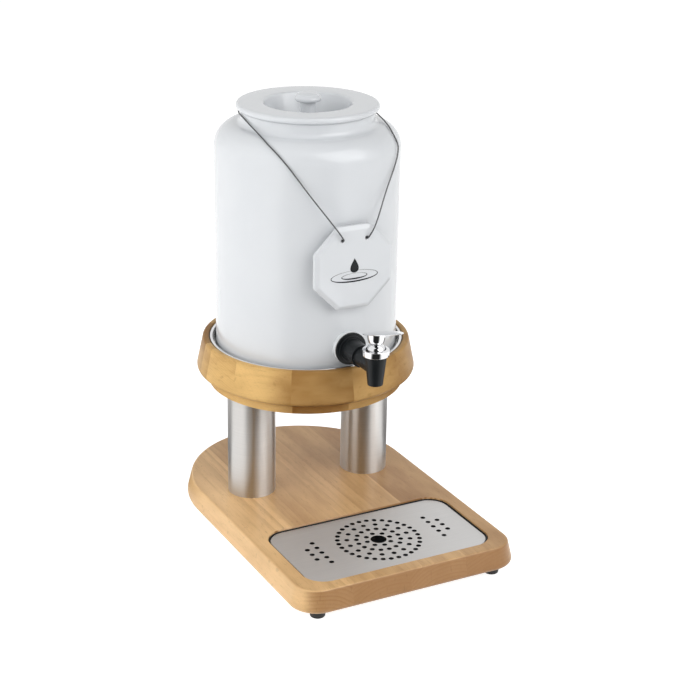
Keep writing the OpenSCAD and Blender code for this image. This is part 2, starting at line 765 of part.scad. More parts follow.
// Section of the lid: rim, well, knob, and the collar that finds the neck
function lid_section() =
    let (rim_r = neck_r + lid_over, well_r = rim_r - lid_brim_w, floor_r = well_r - lid_well_lean, stem_r = knob_stem_d / 2,
        floor_h = lid_t - lid_well_depth, head_r = knob_d / 2, top = lid_t + knob_rise, under = top - knob_h,
        head_round = knob_h / 3, dome_r = (head_r * head_r + knob_h * knob_h / 9) / (2 * knob_h / 3),
        dome_a = asin((head_r - head_round) / dome_r), steep = atan2(well_r - floor_r, lid_well_depth))
    concat([[0, lid_low], [floor_r, lid_low], [well_r + lid_wall / 2, -plug_h / 2], [plug_r - plug_wall, -plug_h / 2],
            [plug_r - plug_wall, -plug_h], [plug_r, -plug_h], [plug_r, 0]],
        arc([rim_r - lid_round, lid_round], lid_round, -90, 0),
        arc([rim_r - lid_round, lid_t - lid_round], lid_round, 0, 90),
        arc([well_r + well_round, lid_t - well_round], well_round, 90, 180 - steep),
        arc([floor_r - well_fillet, floor_h + well_fillet], well_fillet, -steep, -90),
        arc([stem_r + knob_neck, floor_h + knob_neck], knob_neck, -90, -180),
        arc([stem_r + knob_neck, under - knob_neck / 2], knob_neck, 180, 110),
        arc([head_r - head_round, under + head_round], head_round, -90, 70),
        [for (i = [round_steps : -1 : 0]) let (a = dome_a * i / round_steps)
            [dome_r * sin(a), top - dome_r * (1 - cos(a))]]);

module lid() {
    color("white") at_axis(pot_top) rotate_extrude() polygon(lid_section());
}

// Octagonal plate with a bevelled front and two cord holes
module sign() {
    color("white") difference() {
        translate([0, sign_back_y, sign_z]) rotate([90, 180 / 8, 0]) {
            cylinder(r = sign_r, h = sign_t - sign_bevel, $fn = 8);
            translate([0, 0, sign_t - sign_bevel])
                cylinder(r1 = sign_r, r2 = sign_r - sign_bevel, h = sign_bevel, $fn = 8);
        }
        for (x = [-1, 1]) translate([x * sign_hole_spacing / 2, sign_back_y + overrun, sign_hole_z])
            rotate([90, 0, 0]) cylinder(d = sign_hole_d, h = sign_t + 2 * overrun);
    }
}

module sign_cord() {
    color("gray") tube(smoothed(cord_route), cord_d, cord_sides, [0, 0, 1]);
}

module cord_ferrule() {
    color("silver") translate(ferrule_place) rotate([0, 90, 0]) cylinder(d = ferrule_d, h = ferrule_l, center = true);
}

// Body of the tap: shank, flange, hub, pipe and spout, with its passage, chamber and outlet
module tap_body() {
    back_y = boss_y - outer_gasket_t;
    shank_y = pad_y + inner_gasket_t + locknut_h + shank_end;
    tip_z = tap_z - spout_drop;
    top_z = tap_z + spout_rise;
    seat_z = tap_z - seat_drop;
    color("black") difference() {
        union() {
            facing_front(shank_y) cylinder(d = shank_d, h = shank_y - back_y);
            facing_front(back_y) cylinder(d = flange_d, h = flange_t - flange_step_t);
            facing_front(back_y) cylinder(d = flange_step_d, h = flange_t);
            facing_front(back_y) cylinder(d = hub_d, h = flange_t + hub_l);
            facing_front(back_y) cylinder(d = pipe_d, h = back_y - spout_y);
            at_spout(tip_z) cylinder(d1 = spout_tip_d, d2 = collar_d, h = spout_rise + spout_drop);
            at_spout(top_z) cylinder(d = collar_d, h = collar_h);
        }
        facing_front(shank_y + overrun) cylinder(d = passage_d, h = shank_y + overrun - spout_y);
        at_spout(tip_z - overrun) cylinder(d = outlet_d, h = spout_drop);
        at_spout(seat_z) cylinder(d = chamber_d, h = top_z + collar_h + overrun - seat_z);
        at_spout(top_z - upper_bore_h) cylinder(d = upper_bore_d, h = upper_bore_h + collar_h + overrun);
    }
}

module tap_outer_gasket() {
    color("darkgray") facing_front(boss_y) washer(flange_d, shank_hole_d, outer_gasket_t);
}

module tap_inner_gasket() {
    color("darkgray") facing_front(pad_y + inner_gasket_t) washer(inner_gasket_d, shank_d + 2 * fit, inner_gasket_t);
}

module tap_locknut() {
    color("black") facing_front(pad_y + inner_gasket_t + locknut_h) hex_nut(locknut_af, shank_d + 2 * fit, locknut_h);
}

// Cap nut that carries the lever's pins
module tap_bonnet() {
    rim = bonnet_hole_d / 2;
    color("gainsboro") at_spout(tap_z + spout_rise) difference() {
        rotate_extrude() polygon([[collar_d / 2 + fit, 0], [bonnet_d / 2, 0], [bonnet_d / 2, bonnet_side_h],
            [rim + fit, bonnet_h], [rim, bonnet_h], [rim, collar_h + fit], [collar_d / 2 + fit, collar_h + fit]]);
        translate([-bonnet_d, 0, pivot_h - spout_rise]) rotate([0, 90, 0]) cylinder(d = pin_d + 2 * fit, h = 2 * bonnet_d);
    }
}

module lever_pins() {
    color("silver") for (side = [-1, 1]) at_spout(pivot_z)
        rotate([0, 90 * side, 0]) translate([0, 0, pin_reach]) cylinder(d = pin_d, h = bonnet_d / 2 - pin_sink - pin_reach);
}

// Outline of the paddle: an oval with drawn-in ends
function paddle_outline() =
    [for (i = [0 : paddle_steps - 1]) let (a = 360 * i / paddle_steps, s = sin(a))
        [paddle_w / 2 * s * pow(abs(s), paddle_pinch_share), paddle_l / 2 * cos(a)]];

// Radius of an arc from its span and its rise
function arc_radius(span, rise) = (span * span / 4 + rise * rise) / (2 * rise);

// Paddle about its own middle, crowned across its width and falling towards its ends
module paddle() {
    crown_r = arc_radius(paddle_w, paddle_crown);
    fall_r = arc_radius(paddle_l, paddle_fall);
    translate([0, 0, -paddle_t / 2]) intersection() {
        linear_extrude(paddle_t) polygon(paddle_outline());
        translate([0, paddle_l, paddle_t - crown_r]) rotate([90, 0, 0]) cylinder(r = crown_r, h = 2 * paddle_l, $fn = 180);
        translate([0, paddle_l, crown_r]) rotate([90, 0, 0]) cylinder(r = crown_r, h = 2 * paddle_l, $fn = 180);
        translate([-paddle_w, 0, paddle_t - fall_r]) rotate([0, 90, 0]) cylinder(r = fall_r, h = 2 * paddle_w, $fn = 360);
    }
}

module at_paddle() {
    translate([0, -paddle_front, paddle_up]) rotate([-paddle_tilt, 0, 0]) children();
}

// Side of the lever's stem: a bowl, narrow above the ball and upright under the paddle
function stem_side() =
    [for (i = [0 : stem_steps]) let (t = i / stem_steps)
        [(stem_low_d + (stem_top_d - stem_low_d) * sin(90 * t)) / 2, stem_base + (paddle_up - stem_base) * t]];

// Lever: ball in the bonnet, bowl-shaped stem and paddle, hollowed for the head of the valve stem
module tap_lever() {
    color("gainsboro") at_spout(pivot_z) difference() {
        union() {
            difference() {
                union() {
                    sphere(d = ball_d);
                    rotate_extrude() polygon(concat([[0, stem_base]], stem_side(), [[0, paddle_up]]));
                }
                at_paddle() translate([-paddle_l, -paddle_l, 0]) cube(2 * paddle_l);
                translate([0, 0, -ball_d - ball_cut]) cylinder(d = 2 * ball_d, h = ball_d);
                translate([0, 0, -ball_d]) cylinder(d = ball_hollow_d, h = ball_d + ball_hollow_h - hollow_bevel);
                translate([0, 0, ball_hollow_h - hollow_bevel])
                    cylinder(d1 = ball_hollow_d, d2 = ball_hollow_d - 2 * hollow_bevel, h = hollow_bevel);
            }
            at_paddle() paddle();
            translate([0, 0, -ball_cut]) difference() {
                cylinder(d = ball_hollow_d + run_gap, h = lip_t);
                translate([0, 0, -overrun]) cylinder(d = lip_d, h = lip_t + 2 * overrun);
                translate([-ball_d, lip_y - ball_d, -overrun]) cube([2 * ball_d, ball_d, lip_t + 2 * overrun]);
            }
        }
        translate([-ball_d, 0, 0]) rotate([0, 90, 0]) cylinder(d = pin_d + 2 * fit, h = 2 * ball_d);
    }
}

module valve_stem() {
    low = tap_z - seat_drop + stem_foot;
    head = pivot_z - ball_cut + lip_t + head_gap;
    color("whitesmoke") {
        at_spout(low) cylinder(d = valve_stem_d, h = head + head_t - low);
        at_spout(head) cylinder(d = valve_head_d, h = head_t);
    }
}

// Soft cup that closes the outlet, with a plug in its mouth
module seat_cup() {
    color("lightgray") at_spout(tap_z - seat_drop) difference() {
        union() {
            cylinder(d = cup_d, h = cup_h);
            translate([0, 0, -cup_lip_h]) cylinder(d1 = cup_lip_d - 2 * cup_lip_h, d2 = cup_lip_d, h = cup_lip_h);
        }
        translate([0, 0, stem_foot - fit]) cylinder(d = valve_stem_d + 2 * fit, h = cup_h);
    }
}

module stem_guide() {
    color("whitesmoke") at_spout(tap_z + guide_h) washer(chamber_d - 2 * fit, valve_stem_d + 2 * run_gap, guide_t);
}

module valve_spring() {
    count = spring_turns * spring_rings;
    rise = spring_high - spring_low;
    path = [for (i = [0 : count]) let (a = 360 * i / spring_rings)
        [spring_d / 2 * cos(a), spring_d / 2 * sin(a), spring_low + rise * i / count]];
    echo(spring_gap = least_gap(path, spring_rings) - spring_wire);
    color("silver") at_spout(tap_z) tube(path, spring_wire, spring_sides, [0, 0, 1]);
}

// Shallow pan with a ledge for the grid
module drip_pan() {
    rest = grid_z - pan_z;
    in_w = pan_w - 2 * pan_wall;
    in_l = pan_l - 2 * pan_wall;
    in_r = pan_r - pan_wall;
    color("black") translate([0, tray_y, pan_z]) difference() {
        rounded_plate(pan_w, pan_l, pan_r, pan_h);
        translate([0, 0, rest]) rounded_plate(in_w, in_l, in_r, pan_h);
        translate([0, 0, pan_floor])
            rounded_plate(in_w - 2 * pan_ledge, in_l - 2 * pan_ledge, in_r - pan_ledge, pan_h);
    }
}

// Perforated plate: rings of holes about a middle hole, and straight rows at both sides
module drip_grid() {
    color("silver") translate([0, tray_y, grid_z]) linear_extrude(grid_t) difference() {
        rounded_outline(pan_w - 2 * grid_inset, pan_l - 2 * grid_inset, pan_r - grid_inset);
        circle(d = grid_middle_d);
        for (k = [0 : len(grid_ring_counts) - 1], i = [0 : grid_ring_counts[k] - 1])
            rotate(360 * i / grid_ring_counts[k]) translate([grid_ring_r + k * grid_ring_step, 0])
                circle(d = grid_hole_d);
        for (side = [-1, 1], k = [0 : len(grid_row_counts) - 1], i = [0 : grid_row_counts[k] - 1])
            translate([side * (grid_row_x + k * grid_row_step), (i - (grid_row_counts[k] - 1) / 2) * grid_row_step])
                circle(d = grid_hole_d);
    }
}

base_board();
foot_front_left();
foot_front_right();
foot_back_left();
foot_back_right();
foot_screws();
column_left();
column_right();
tie_rods();
tie_nuts();
tie_washers();
ring_floor();
ring_collar();
tub();
cool_pack();
pack_plug();
pot();
lid();
sign();
sign_cord();
cord_ferrule();
tap_body();
tap_outer_gasket();
tap_inner_gasket();
tap_locknut();
tap_bonnet();
tap_lever();
lever_pins();
valve_stem();
seat_cup();
stem_guide();
valve_spring();
drip_pan();
drip_grid();
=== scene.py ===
"""Milk dispenser: meshes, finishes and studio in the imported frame. Metres, +Z up, -Y front."""
import json
import logging
import math
from dataclasses import dataclass
from enum import Enum
from typing import Any, Sequence

import bmesh
import bpy
from mathutils import Matrix, Vector


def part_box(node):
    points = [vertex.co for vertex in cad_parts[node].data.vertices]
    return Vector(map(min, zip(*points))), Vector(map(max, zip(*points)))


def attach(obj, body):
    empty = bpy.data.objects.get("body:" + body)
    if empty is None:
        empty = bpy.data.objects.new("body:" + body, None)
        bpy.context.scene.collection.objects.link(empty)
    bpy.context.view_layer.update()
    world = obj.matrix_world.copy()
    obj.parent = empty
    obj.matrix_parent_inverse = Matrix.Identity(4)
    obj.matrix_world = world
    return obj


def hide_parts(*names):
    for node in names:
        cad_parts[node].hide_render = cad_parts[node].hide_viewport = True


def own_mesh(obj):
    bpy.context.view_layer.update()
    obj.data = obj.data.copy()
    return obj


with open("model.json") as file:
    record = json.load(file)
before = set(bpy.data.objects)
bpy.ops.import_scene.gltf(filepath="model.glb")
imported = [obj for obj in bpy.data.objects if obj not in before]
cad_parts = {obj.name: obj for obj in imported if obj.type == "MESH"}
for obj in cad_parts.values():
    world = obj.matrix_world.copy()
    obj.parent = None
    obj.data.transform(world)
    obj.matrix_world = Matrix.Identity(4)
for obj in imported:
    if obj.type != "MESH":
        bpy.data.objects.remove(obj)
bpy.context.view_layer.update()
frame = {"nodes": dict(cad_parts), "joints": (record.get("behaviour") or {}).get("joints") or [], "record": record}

log = logging.getLogger("milk_dispenser")

Point = tuple[float, float, float]
Colour = tuple[float, float, float]
Section = list[tuple[float, float]]
Skin = tuple[list[Vector], list[Sequence[int]]]
Values = dict[str, Any]
Piece = bpy.types.Object
Socket = bpy.types.NodeSocket
Material = bpy.types.Material
MERGE = 1e-6
BODY_OF = {node: body for body, nodes in frame["record"]["behaviour"]["bodies"].items() for node in nodes}
SLOT_OF = {part["node"]: part["material_slot"] for part in frame["record"]["subparts"]}


class Axis(Enum):
    """Direction that a turned piece's own axis points along."""

    UP = "up"
    FRONT = "front"
    RIGHT = "right"


class Grain(Enum):
    """How the wood of a piece is glued up."""

    STAVES = "straight staves from front to back"
    SEGMENTS = "segments round a ring"


class Brush(Enum):
    """Direction of the brush marks on steel."""

    LEVEL = "level lines round an upright tube"
    ACROSS = "lines from side to side on a flat plate"


# Meshes


def arc(centre: tuple[float, float], radius: float, start: float, stop: float, steps: int = 10) -> Section:
    """Points of an arc in a section.

    Args:
        centre: Middle of the arc.
        radius: Radius of the arc.
        start: First angle in degrees.
        stop: Last angle in degrees.
        steps: Number of straight stretches.

    Returns:
        The points, both ends included.
    """
    angles = [math.radians(start + (stop - start) * i / steps) for i in range(steps + 1)]
    return [(centre[0] + radius * math.cos(a), centre[1] + radius * math.sin(a)) for a in angles]


def placed(name: str, mesh: bpy.types.Mesh, crease: float = 35) -> Piece:
    """Puts a mesh in the scene, smooth but for creases.

    Args:
        name: Name of the piece.
        mesh: Its mesh, in place.
        crease: Angle in degrees past which an edge stays sharp.

    Returns:
        The new object, at the origin.
    """
    mesh.name = name
    mesh.shade_smooth()
    mesh.set_sharp_from_angle(angle=math.radians(crease))
    piece = bpy.data.objects.new(name, mesh)
    bpy.context.scene.collection.objects.link(piece)
    return piece


def skinned(name: str, points: Sequence[Vector], faces: Sequence[Sequence[int]], crease: float = 35) -> Piece:
    """Makes a closed piece from points and faces, with its poles merged and its faces outward.

    Args:
        name: Name of the piece.
        points: Corners.
        faces: Corner numbers of each face.
        crease: Angle in degrees past which an edge stays sharp.

    Returns:
        The new object.
    """
    mesh = bpy.data.meshes.new(name)
    mesh.from_pydata([tuple(p) for p in points], [], [list(f) for f in faces])
    shape = bmesh.new()
    shape.from_mesh(mesh)
    bmesh.ops.remove_doubles(shape, verts=shape.verts, dist=MERGE)
    bmesh.ops.dissolve_degenerate(shape, edges=shape.edges, dist=MERGE / 10)
    bmesh.ops.recalc_face_normals(shape, faces=shape.faces)
    shape.to_mesh(mesh)
    shape.free()
    return placed(name, mesh, crease)


def turned(name: str, section: Section, centre: Vector, axis: Axis = Axis.UP, steps: int = 192) -> Piece:
    """Turns a closed section about an axis.

    Args:
        name: Name of the piece.
        section: Radius and height of each corner, in order round the section.
        centre: Point on the axis where heights start.
        axis: Direction of the axis.
        steps: Number of faces round the axis.

    Returns:
        The new object.
    """
    frames = {
        Axis.UP: (Vector((1, 0, 0)), Vector((0, 1, 0)), Vector((0, 0, 1))),
        Axis.FRONT: (Vector((1, 0, 0)), Vector((0, 0, 1)), Vector((0, -1, 0))),
        Axis.RIGHT: (Vector((0, 1, 0)), Vector((0, 0, 1)), Vector((1, 0, 0))),
    }
    side, other, along = frames[axis]
    count = len(section)
    points = []
    for i in range(steps):
        turn = math.tau * i / steps
        out = side * math.cos(turn) + other * math.sin(turn)
        points += [centre + out * r + along * h for r, h in section]
    faces = []
    for i in range(steps):
        here, there = i * count, (i + 1) % steps * count
        for k in range(count):
            m = (k + 1) % count
            if section[k][0] > MERGE or section[m][0] > MERGE:
                faces.append((here + k, here + m, there + m, there + k))
    return skinned(name, points, faces)


def lofted(name: str, rings: Sequence[Sequence[Vector]], crease: float = 35) -> Piece:
    """Joins closed rings of corners into a skin with flat ends.

    Args:
        name: Name of the piece.
        rings: Rings with the same number of corners.
        crease: Angle in degrees past which an edge stays sharp.

    Returns:
        The new object.
    """
    count = len(rings[0])
    points = [p for ring in rings for p in ring]
    last = (len(rings) - 1) * count
    faces: list[Sequence[int]] = [range(count), range(last, last + count)]
    for i in range(len(rings) - 1):
        low, high = i * count, (i + 1) * count
        faces += [(low + k, low + (k + 1) % count, high + (k + 1) % count, high + k) for k in range(count)]
    return skinned(name, points, faces, crease)


def swept(name: str, path: Sequence[Vector], section: Sequence[Section], side: Vector) -> Piece:
    """Sweeps a section along a path without twist, with flat ends.

    Args:
        name: Name of the piece.
        path: Points of the middle line.
        section: The section at each point, as offsets sideways and upwards.
        side: Rough sideways direction at the start.

    Returns:
        The new object.
    """
    rings = []
    for i, here in enumerate(path):
        along = (path[min(i + 1, len(path) - 1)] - path[max(i - 1, 0)]).normalized()
        side = (side - along * side.dot(along)).normalized()
        up = along.cross(side)
        rings.append([here + side * u + up * v for u, v in section[i]])
    return lofted(name, rings, 60)


def settled(piece: Piece) -> Piece:
    """Turns a piece's modifiers into plain mesh.

    Args:
        piece: Object with modifiers.

    Returns:
        The same object, with none.
    """
    bpy.context.view_layer.update()
    graph = bpy.context.evaluated_depsgraph_get()
    old = piece.data
    piece.data = bpy.data.meshes.new_from_object(piece.evaluated_get(graph), depsgraph=graph)
    piece.modifiers.clear()
    name = old.name
    bpy.data.meshes.remove(old)
    piece.data.name = name
    return piece


def cut(piece: Piece, *tools: Piece, join: bool = False) -> Piece:
    """Cuts tools out of a piece, or joins them to it, and deletes them.

    Args:
        piece: Object to work on.
        tools: Closed objects.
        join: Whether to join them and not cut.

    Returns:
        The same object.
    """
    for tool in tools:
        work = piece.modifiers.new("work", "BOOLEAN")
        work.operation = "UNION" if join else "DIFFERENCE"
        work.solver = "EXACT"
        work.object = tool
    settled(piece)
    for tool in tools:
        bpy.data.objects.remove(tool)
    return piece


def eased(piece: Piece, width: float, steps: int = 2, crease: float = 32) -> Piece:
    """Rounds a piece's sharp edges and keeps its flat faces flat.

    Args:
        piece: Object to work on.
        width: Width of the rounding.
        steps: Faces across the rounding.
        crease: Angle in degrees past which an edge is rounded.

    Returns:
        The same object.
    """
    bevel = piece.modifiers.new("rounding", "BEVEL")
    bevel.width = width
    bevel.segments = steps
    bevel.limit_method = "ANGLE"
    bevel.angle_limit = math.radians(crease)
    bevel.use_clamp_overlap = True
    bevel.miter_outer = "MITER_ARC"
    flat = piece.modifiers.new("flat faces", "WEIGHTED_NORMAL")
    flat.keep_sharp = True
    return settled(piece)


def copied(node: str, width: float, steps: int = 2) -> Piece:
    """Copies a node's mesh, merged, with its edges rounded.

    Args:
        node: Name of the node.
        width: Width of the rounding.
        steps: Faces across the rounding.

    Returns:
        The copy, as a new object.
    """
    source = frame["nodes"][node].data
    mesh = bpy.data.meshes.new(node + "_mesh")
    corners = [tuple(v.co) for v in source.vertices]
    mesh.from_pydata(corners, [], [tuple(face.vertices) for face in source.polygons])
    shape = bmesh.new()
    shape.from_mesh(mesh)
    bmesh.ops.remove_doubles(shape, verts=shape.verts, dist=MERGE)
    bmesh.ops.dissolve_degenerate(shape, edges=shape.edges, dist=MERGE)
    bmesh.ops.dissolve_limit(shape, angle_limit=math.radians(0.5), verts=shape.verts, edges=shape.edges)
    shape.to_mesh(mesh)
    shape.free()
    return eased(placed(node + "_mesh", mesh), width, steps)


# Materials


class Link:
    """A number in a material, with Python's operators on it."""

    def __init__(self, shade: "Shade", socket: Socket) -> None:
        """Keeps the material's builder and the socket that gives the number."""
        self.shade = shade
        self.socket = socket

    def __add__(self, other: Any) -> "Link":
        """This plus other."""
        return self.shade.maths("ADD", self, other)

    def __radd__(self, other: Any) -> "Link":
        """Other plus this."""
        return self.shade.maths("ADD", other, self)

    def __sub__(self, other: Any) -> "Link":
        """This minus other."""
        return self.shade.maths("SUBTRACT", self, other)

    def __rsub__(self, other: Any) -> "Link":
        """Other minus this."""
        return self.shade.maths("SUBTRACT", other, self)

    def __mul__(self, other: Any) -> "Link":
        """This times other."""
        return self.shade.maths("MULTIPLY", self, other)

    def __rmul__(self, other: Any) -> "Link":
        """Other times this."""
        return self.shade.maths("MULTIPLY", other, self)

    def __truediv__(self, other: Any) -> "Link":
        """This over other."""
        return self.shade.maths("DIVIDE", self, other)

    def __rtruediv__(self, other: Any) -> "Link":
        """Other over this."""
        return self.shade.maths("DIVIDE", other, self)

    def step(self, low: float, high: float) -> "Link":
        """Smooth step from 0 at low to 1 at high.

        Args:
            low: Value that gives 0.
            high: Value that gives 1.

        Returns:
            The stepped number.
        """
        sockets = {"Value": self, "From Min": low, "From Max": high}
        ramp = self.shade.node("ShaderNodeMapRange", sockets, interpolation_type="SMOOTHSTEP")
        return Link(self.shade, ramp.outputs["Result"])


class Tree:
    """Adds nodes to one tree."""

    tree: bpy.types.NodeTree

    def node(self, kind: str, sockets: Values | None = None, **settings: Any) -> bpy.types.Node:
        """Adds a node.

        Args:
            kind: Type of the node.
            sockets: Values, links or lists of links of its inputs, by name or identifier.
            settings: Its settings, which are set first.

        Returns:
            The node.
        """
        made = self.tree.nodes.new(kind)
        for key, value in settings.items():
            setattr(made, key, value)
        for key, value in (sockets or {}).items():
            target = next(s for s in made.inputs if s.enabled and key in (s.identifier, s.name))
            for one in value if isinstance(value, list) else [value]:
                source = one.socket if isinstance(one, Link) else one
                if isinstance(source, Socket):
                    self.tree.links.new(source, target)
                else:
                    target.default_value = source
        return made


class Shade(Tree):
    """Builds the nodes of one material, or of the surroundings."""

    OPERANDS = ("Value", "Value_001", "Value_002")

    def __init__(self, owner: bpy.types.ID) -> None:
        """Empties the owner's tree of nodes.

        Args:
            owner: The material or the world.
        """
        self.owner = owner
        owner.use_nodes = True
        self.tree = owner.node_tree
        self.tree.nodes.clear()

    def maths(self, operation: str, *values: Any) -> Link:
        """Adds a Math node on numbers or links."""
        made = self.node("ShaderNodeMath", dict(zip(self.OPERANDS, values)), operation=operation)
        return Link(self, made.outputs[0])

    def where(self, kind: str = "Object") -> Socket:
        """Coordinates of the surface's point, by kind."""
        return self.node("ShaderNodeTexCoord").outputs[kind]

    def parts(self, vector: Socket) -> tuple[Link, ...]:
        """The x, y and z of a vector."""
        split = self.node("ShaderNodeSeparateXYZ", {"Vector": vector})
        return tuple(Link(self, out) for out in split.outputs)

    def place(self) -> tuple[Link, ...]:
        """The point's own x, y and z in the object's frame."""
        return self.parts(self.where())

    def facing(self) -> tuple[Link, ...]:
        """Sizes of the three parts of the direction that the surface faces."""
        return tuple(self.maths("ABSOLUTE", part) for part in self.parts(self.where("Normal")))

    def vector(self, x: Any, y: Any, z: Any) -> Socket:
        """Joins three numbers into a vector."""
        return self.node("ShaderNodeCombineXYZ", {"X": x, "Y": y, "Z": z}).outputs[0]

    def stretched(self, place: Sequence[Link], cells: Point) -> Socket:
        """Point whose x, y and z count cells of their own."""
        return self.vector(*(part * count for part, count in zip(place, cells)))

    def noise(self, where: Socket, scale: float = 1, detail: float = 2, rough: float = 0.5) -> Link:
        """Smooth noise about one half.

        Args:
            where: Point that it is read at.
            scale: Cells in one unit of that point.
            detail: Octaves of finer noise.
            rough: Strength of the finer octaves.

        Returns:
            The noise, from 0 to 1.
        """
        sockets = {"Vector": where, "Scale": scale, "Detail": detail, "Roughness": rough}
        return Link(self, self.node("ShaderNodeTexNoise", sockets).outputs[0])

    def chance(self, number: Link) -> Link:
        """A fixed random number from 0 to 1 for each whole number."""
        made = self.node("ShaderNodeTexWhiteNoise", {"W": number}, noise_dimensions="1D")
        return Link(self, made.outputs["Value"])

    def mix(self, share: Any, first: Any, second: Any) -> Socket:
        """Mixes two colours.

        Args:
            share: Share of the second colour.
            first: Colour or link.
            second: Colour or link.

        Returns:
            The mixed colour.
        """
        colours = [(*c, 1) if isinstance(c, tuple) else c for c in (first, second)]
        sockets = {"Factor_Float": share, "A_Color": colours[0], "B_Color": colours[1]}
        made = self.node("ShaderNodeMix", sockets, data_type="RGBA")
        return next(s for s in made.outputs if s.identifier == "Result_Color")

    def bump(self, height: Link, distance: float, strength: float = 1) -> Socket:
        """Normal of a surface with small heights.

        Args:
            height: Height from 0 to 1.
            distance: Real height of 1.
            strength: Share of the effect.

        Returns:
            The normal.
        """
        sockets = {"Height": height, "Distance": distance, "Strength": strength}
        return self.node("ShaderNodeBump", sockets).outputs[0]

    def surface(self, **inputs: Any) -> Material:
        """Ends the material in a surface shader.

        Args:
            inputs: Values or links of the shader's inputs, with _ for a space.

        Returns:
            The material.
        """
        sockets = {key.replace("_", " "): value for key, value in inputs.items()}
        body = self.node("ShaderNodeBsdfPrincipled", sockets)
        self.node("ShaderNodeOutputMaterial", {"Surface": body.outputs[0]})
        return self.owner

    def either(self, share: Link, first: bpy.types.Node, second: bpy.types.Node) -> Socket:
        """Mixes two shaders by the second one's share."""
        sockets = {"Fac": share, "Shader": first.outputs[0], "Shader_001": second.outputs[0]}
        return self.node("ShaderNodeMixShader", sockets).outputs[0]


@dataclass(frozen=True)
class Beech:
    """Oiled beech with growth rings, pores along the grain and short ray flecks."""

    name: str
    grain: Grain
    pale: Colour
    warm: Colour
    late: Colour
    pore: Colour
    pitch: float
    start: float
    seed: float
    tone_share: float = 0.4
    ring_pitch: float = 0.0034
    ring_share: float = 0.34
    slant: float = 0.0
    # Share of painted shade: a segment darkens towards a darker neighbour, in place of the ring's shading from the
    # lit left to the darker front.
    painted_shade_drift: float = 0.0
    streak_share: float = 0.26
    sheen: float = 0.35
    pith_depth: float = 0.05
    wave_cells: float = 22
    wave_stretch: float = 0.16
    wave_reach: float = 0.016
    cloud_cells: float = 26
    cloud_stretch: float = 0.35
    pore_cells: Point = (1500, 95, 1500)
    pore_share: float = 0.24
    pore_sink: float = 0.7
    streak_cells: Point = (260, 9, 260)
    fleck_cells: Point = (420, 120, 130)
    fleck_share: float = 0.2
    ring_sink: float = 0.2
    end_share: float = 0.8
    end_rings: float = 0.25
    flank_rings: float = 0.85
    flank_streaks: float = 0.6
    roughness: float = 0.36
    rough_spread: float = 0.12
    relief: float = 0.00004
    relief_share: float = 0.6
    coat_share: float = 0.2
    coat_roughness: float = 0.16

    def timber(self, shade: Shade) -> tuple[Link, Link, Link, Link]:
        """Coordinates in the piece of timber that a point belongs to.

        Args:
            shade: Builder of the material.

        Returns:
            Across the grain, along the grain, upwards, and the timber's number.
        """
        x, y, z = shade.place()
        if self.grain is Grain.STAVES:
            number = shade.maths("FLOOR", (x - self.start) / self.pitch)
            return x - self.start - (number + 0.5) * self.pitch, y, z, number
        low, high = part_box("ring_collar")
        back = y - (low.y + high.y) / 2
        angle = shade.maths("ARCTAN2", back, x)
        number = shade.maths("FLOOR", (angle - self.start) / self.pitch)
        turn = angle - self.start - (number + 0.5) * self.pitch
        reach = shade.maths("SQRT", x * x + back * back)
        return reach * shade.maths("COSINE", turn) - high.x, reach * shade.maths("SINE", turn), z, number

    def faces(self, shade: Shade) -> tuple[Link, Link]:
        """Tells the board's faces apart.

        Args:
            shade: Builder of the material.

        Returns:
            1 on faces cut across the grain, and 1 on the long side faces, else 0.
        """
        straight = 1.0 if self.grain is Grain.STAVES else 0.0
        across, along, _ = shade.facing()
        return along.step(0.5, 0.95) * straight, across.step(0.5, 0.9) * straight

    def material(self) -> Material:
        """Builds the wood.

        Returns:
            The material.
        """
        shade = Shade(bpy.data.materials.new(self.name))
        across, along, up, number = self.timber(shade)
        tone = shade.chance(number + self.seed)
        # Painted shade: each segment's half towards the next one is blended towards that segment's tone where it
        # is darker.
        if self.painted_shade_drift:
            darker = shade.maths("MAXIMUM", shade.chance(number + self.seed + 1) - tone, 0.0)
            tone = tone + darker * along.step(0, 0.03) * self.painted_shade_drift
        shift = shade.chance(number + self.seed + 31)
        lie = along + shift * 7
        end, flank = self.faces(shade)
        place = (across, lie, up)
        wave = shade.noise(shade.vector(across, lie * self.wave_stretch, up), self.wave_cells, 3, 0.55) - 0.5
        away = across + (shift - 0.5) * self.pith_depth + wave * self.wave_reach
        deep = up + self.pith_depth * (0.5 + tone) + along * (shift - 0.5) * self.slant
        years = shade.maths("SQRT", away * away + deep * deep) / self.ring_pitch
        year = shade.maths("FRACT", years)
        width = shade.chance(shade.maths("FLOOR", years) + number * 13)
        ring = year.step(0.35, 0.93) * (1 - year.step(0.94, 1)) * (0.35 + 0.65 * width)
        cloud = shade.noise(shade.vector(across, lie * self.cloud_stretch, up), self.cloud_cells, 3, 0.6)
        pores = shade.noise(shade.stretched(place, self.pore_cells), 1, 2, 0.6).step(0.56, 0.74)
        streak = shade.noise(shade.stretched(place, self.streak_cells), 1, 3, 0.65).step(0.45, 0.8)
        fleck = shade.noise(shade.stretched(place, self.fleck_cells), 1, 1, 0.4).step(0.66, 0.76)
        ripe = cloud.step(0.3, 0.75) * (1 - self.tone_share) + tone * self.tone_share
        colour = shade.mix(ripe, self.pale, self.warm)
        rings = ring * (self.ring_share + end * self.end_rings) * (1 - flank * self.flank_rings)
        streaks = streak * self.streak_share * (1 - flank * self.flank_streaks)
        for share in (rings, streaks, end * self.end_share):
            colour = shade.mix(share, colour, self.late)
        colour = shade.mix(pores * self.pore_share + fleck * self.fleck_share, colour, self.pore)
        height = 1 - pores * self.pore_sink - ring * self.ring_sink
        return shade.surface(
            Base_Color=colour,
            Roughness=self.roughness + pores * self.rough_spread + (cloud - 0.5) * self.rough_spread,
            Normal=shade.bump(height, self.relief, self.relief_share),
            Specular_IOR_Level=self.sheen,
            Coat_Weight=self.sheen * self.coat_share,
            Coat_Roughness=self.coat_roughness,
        )


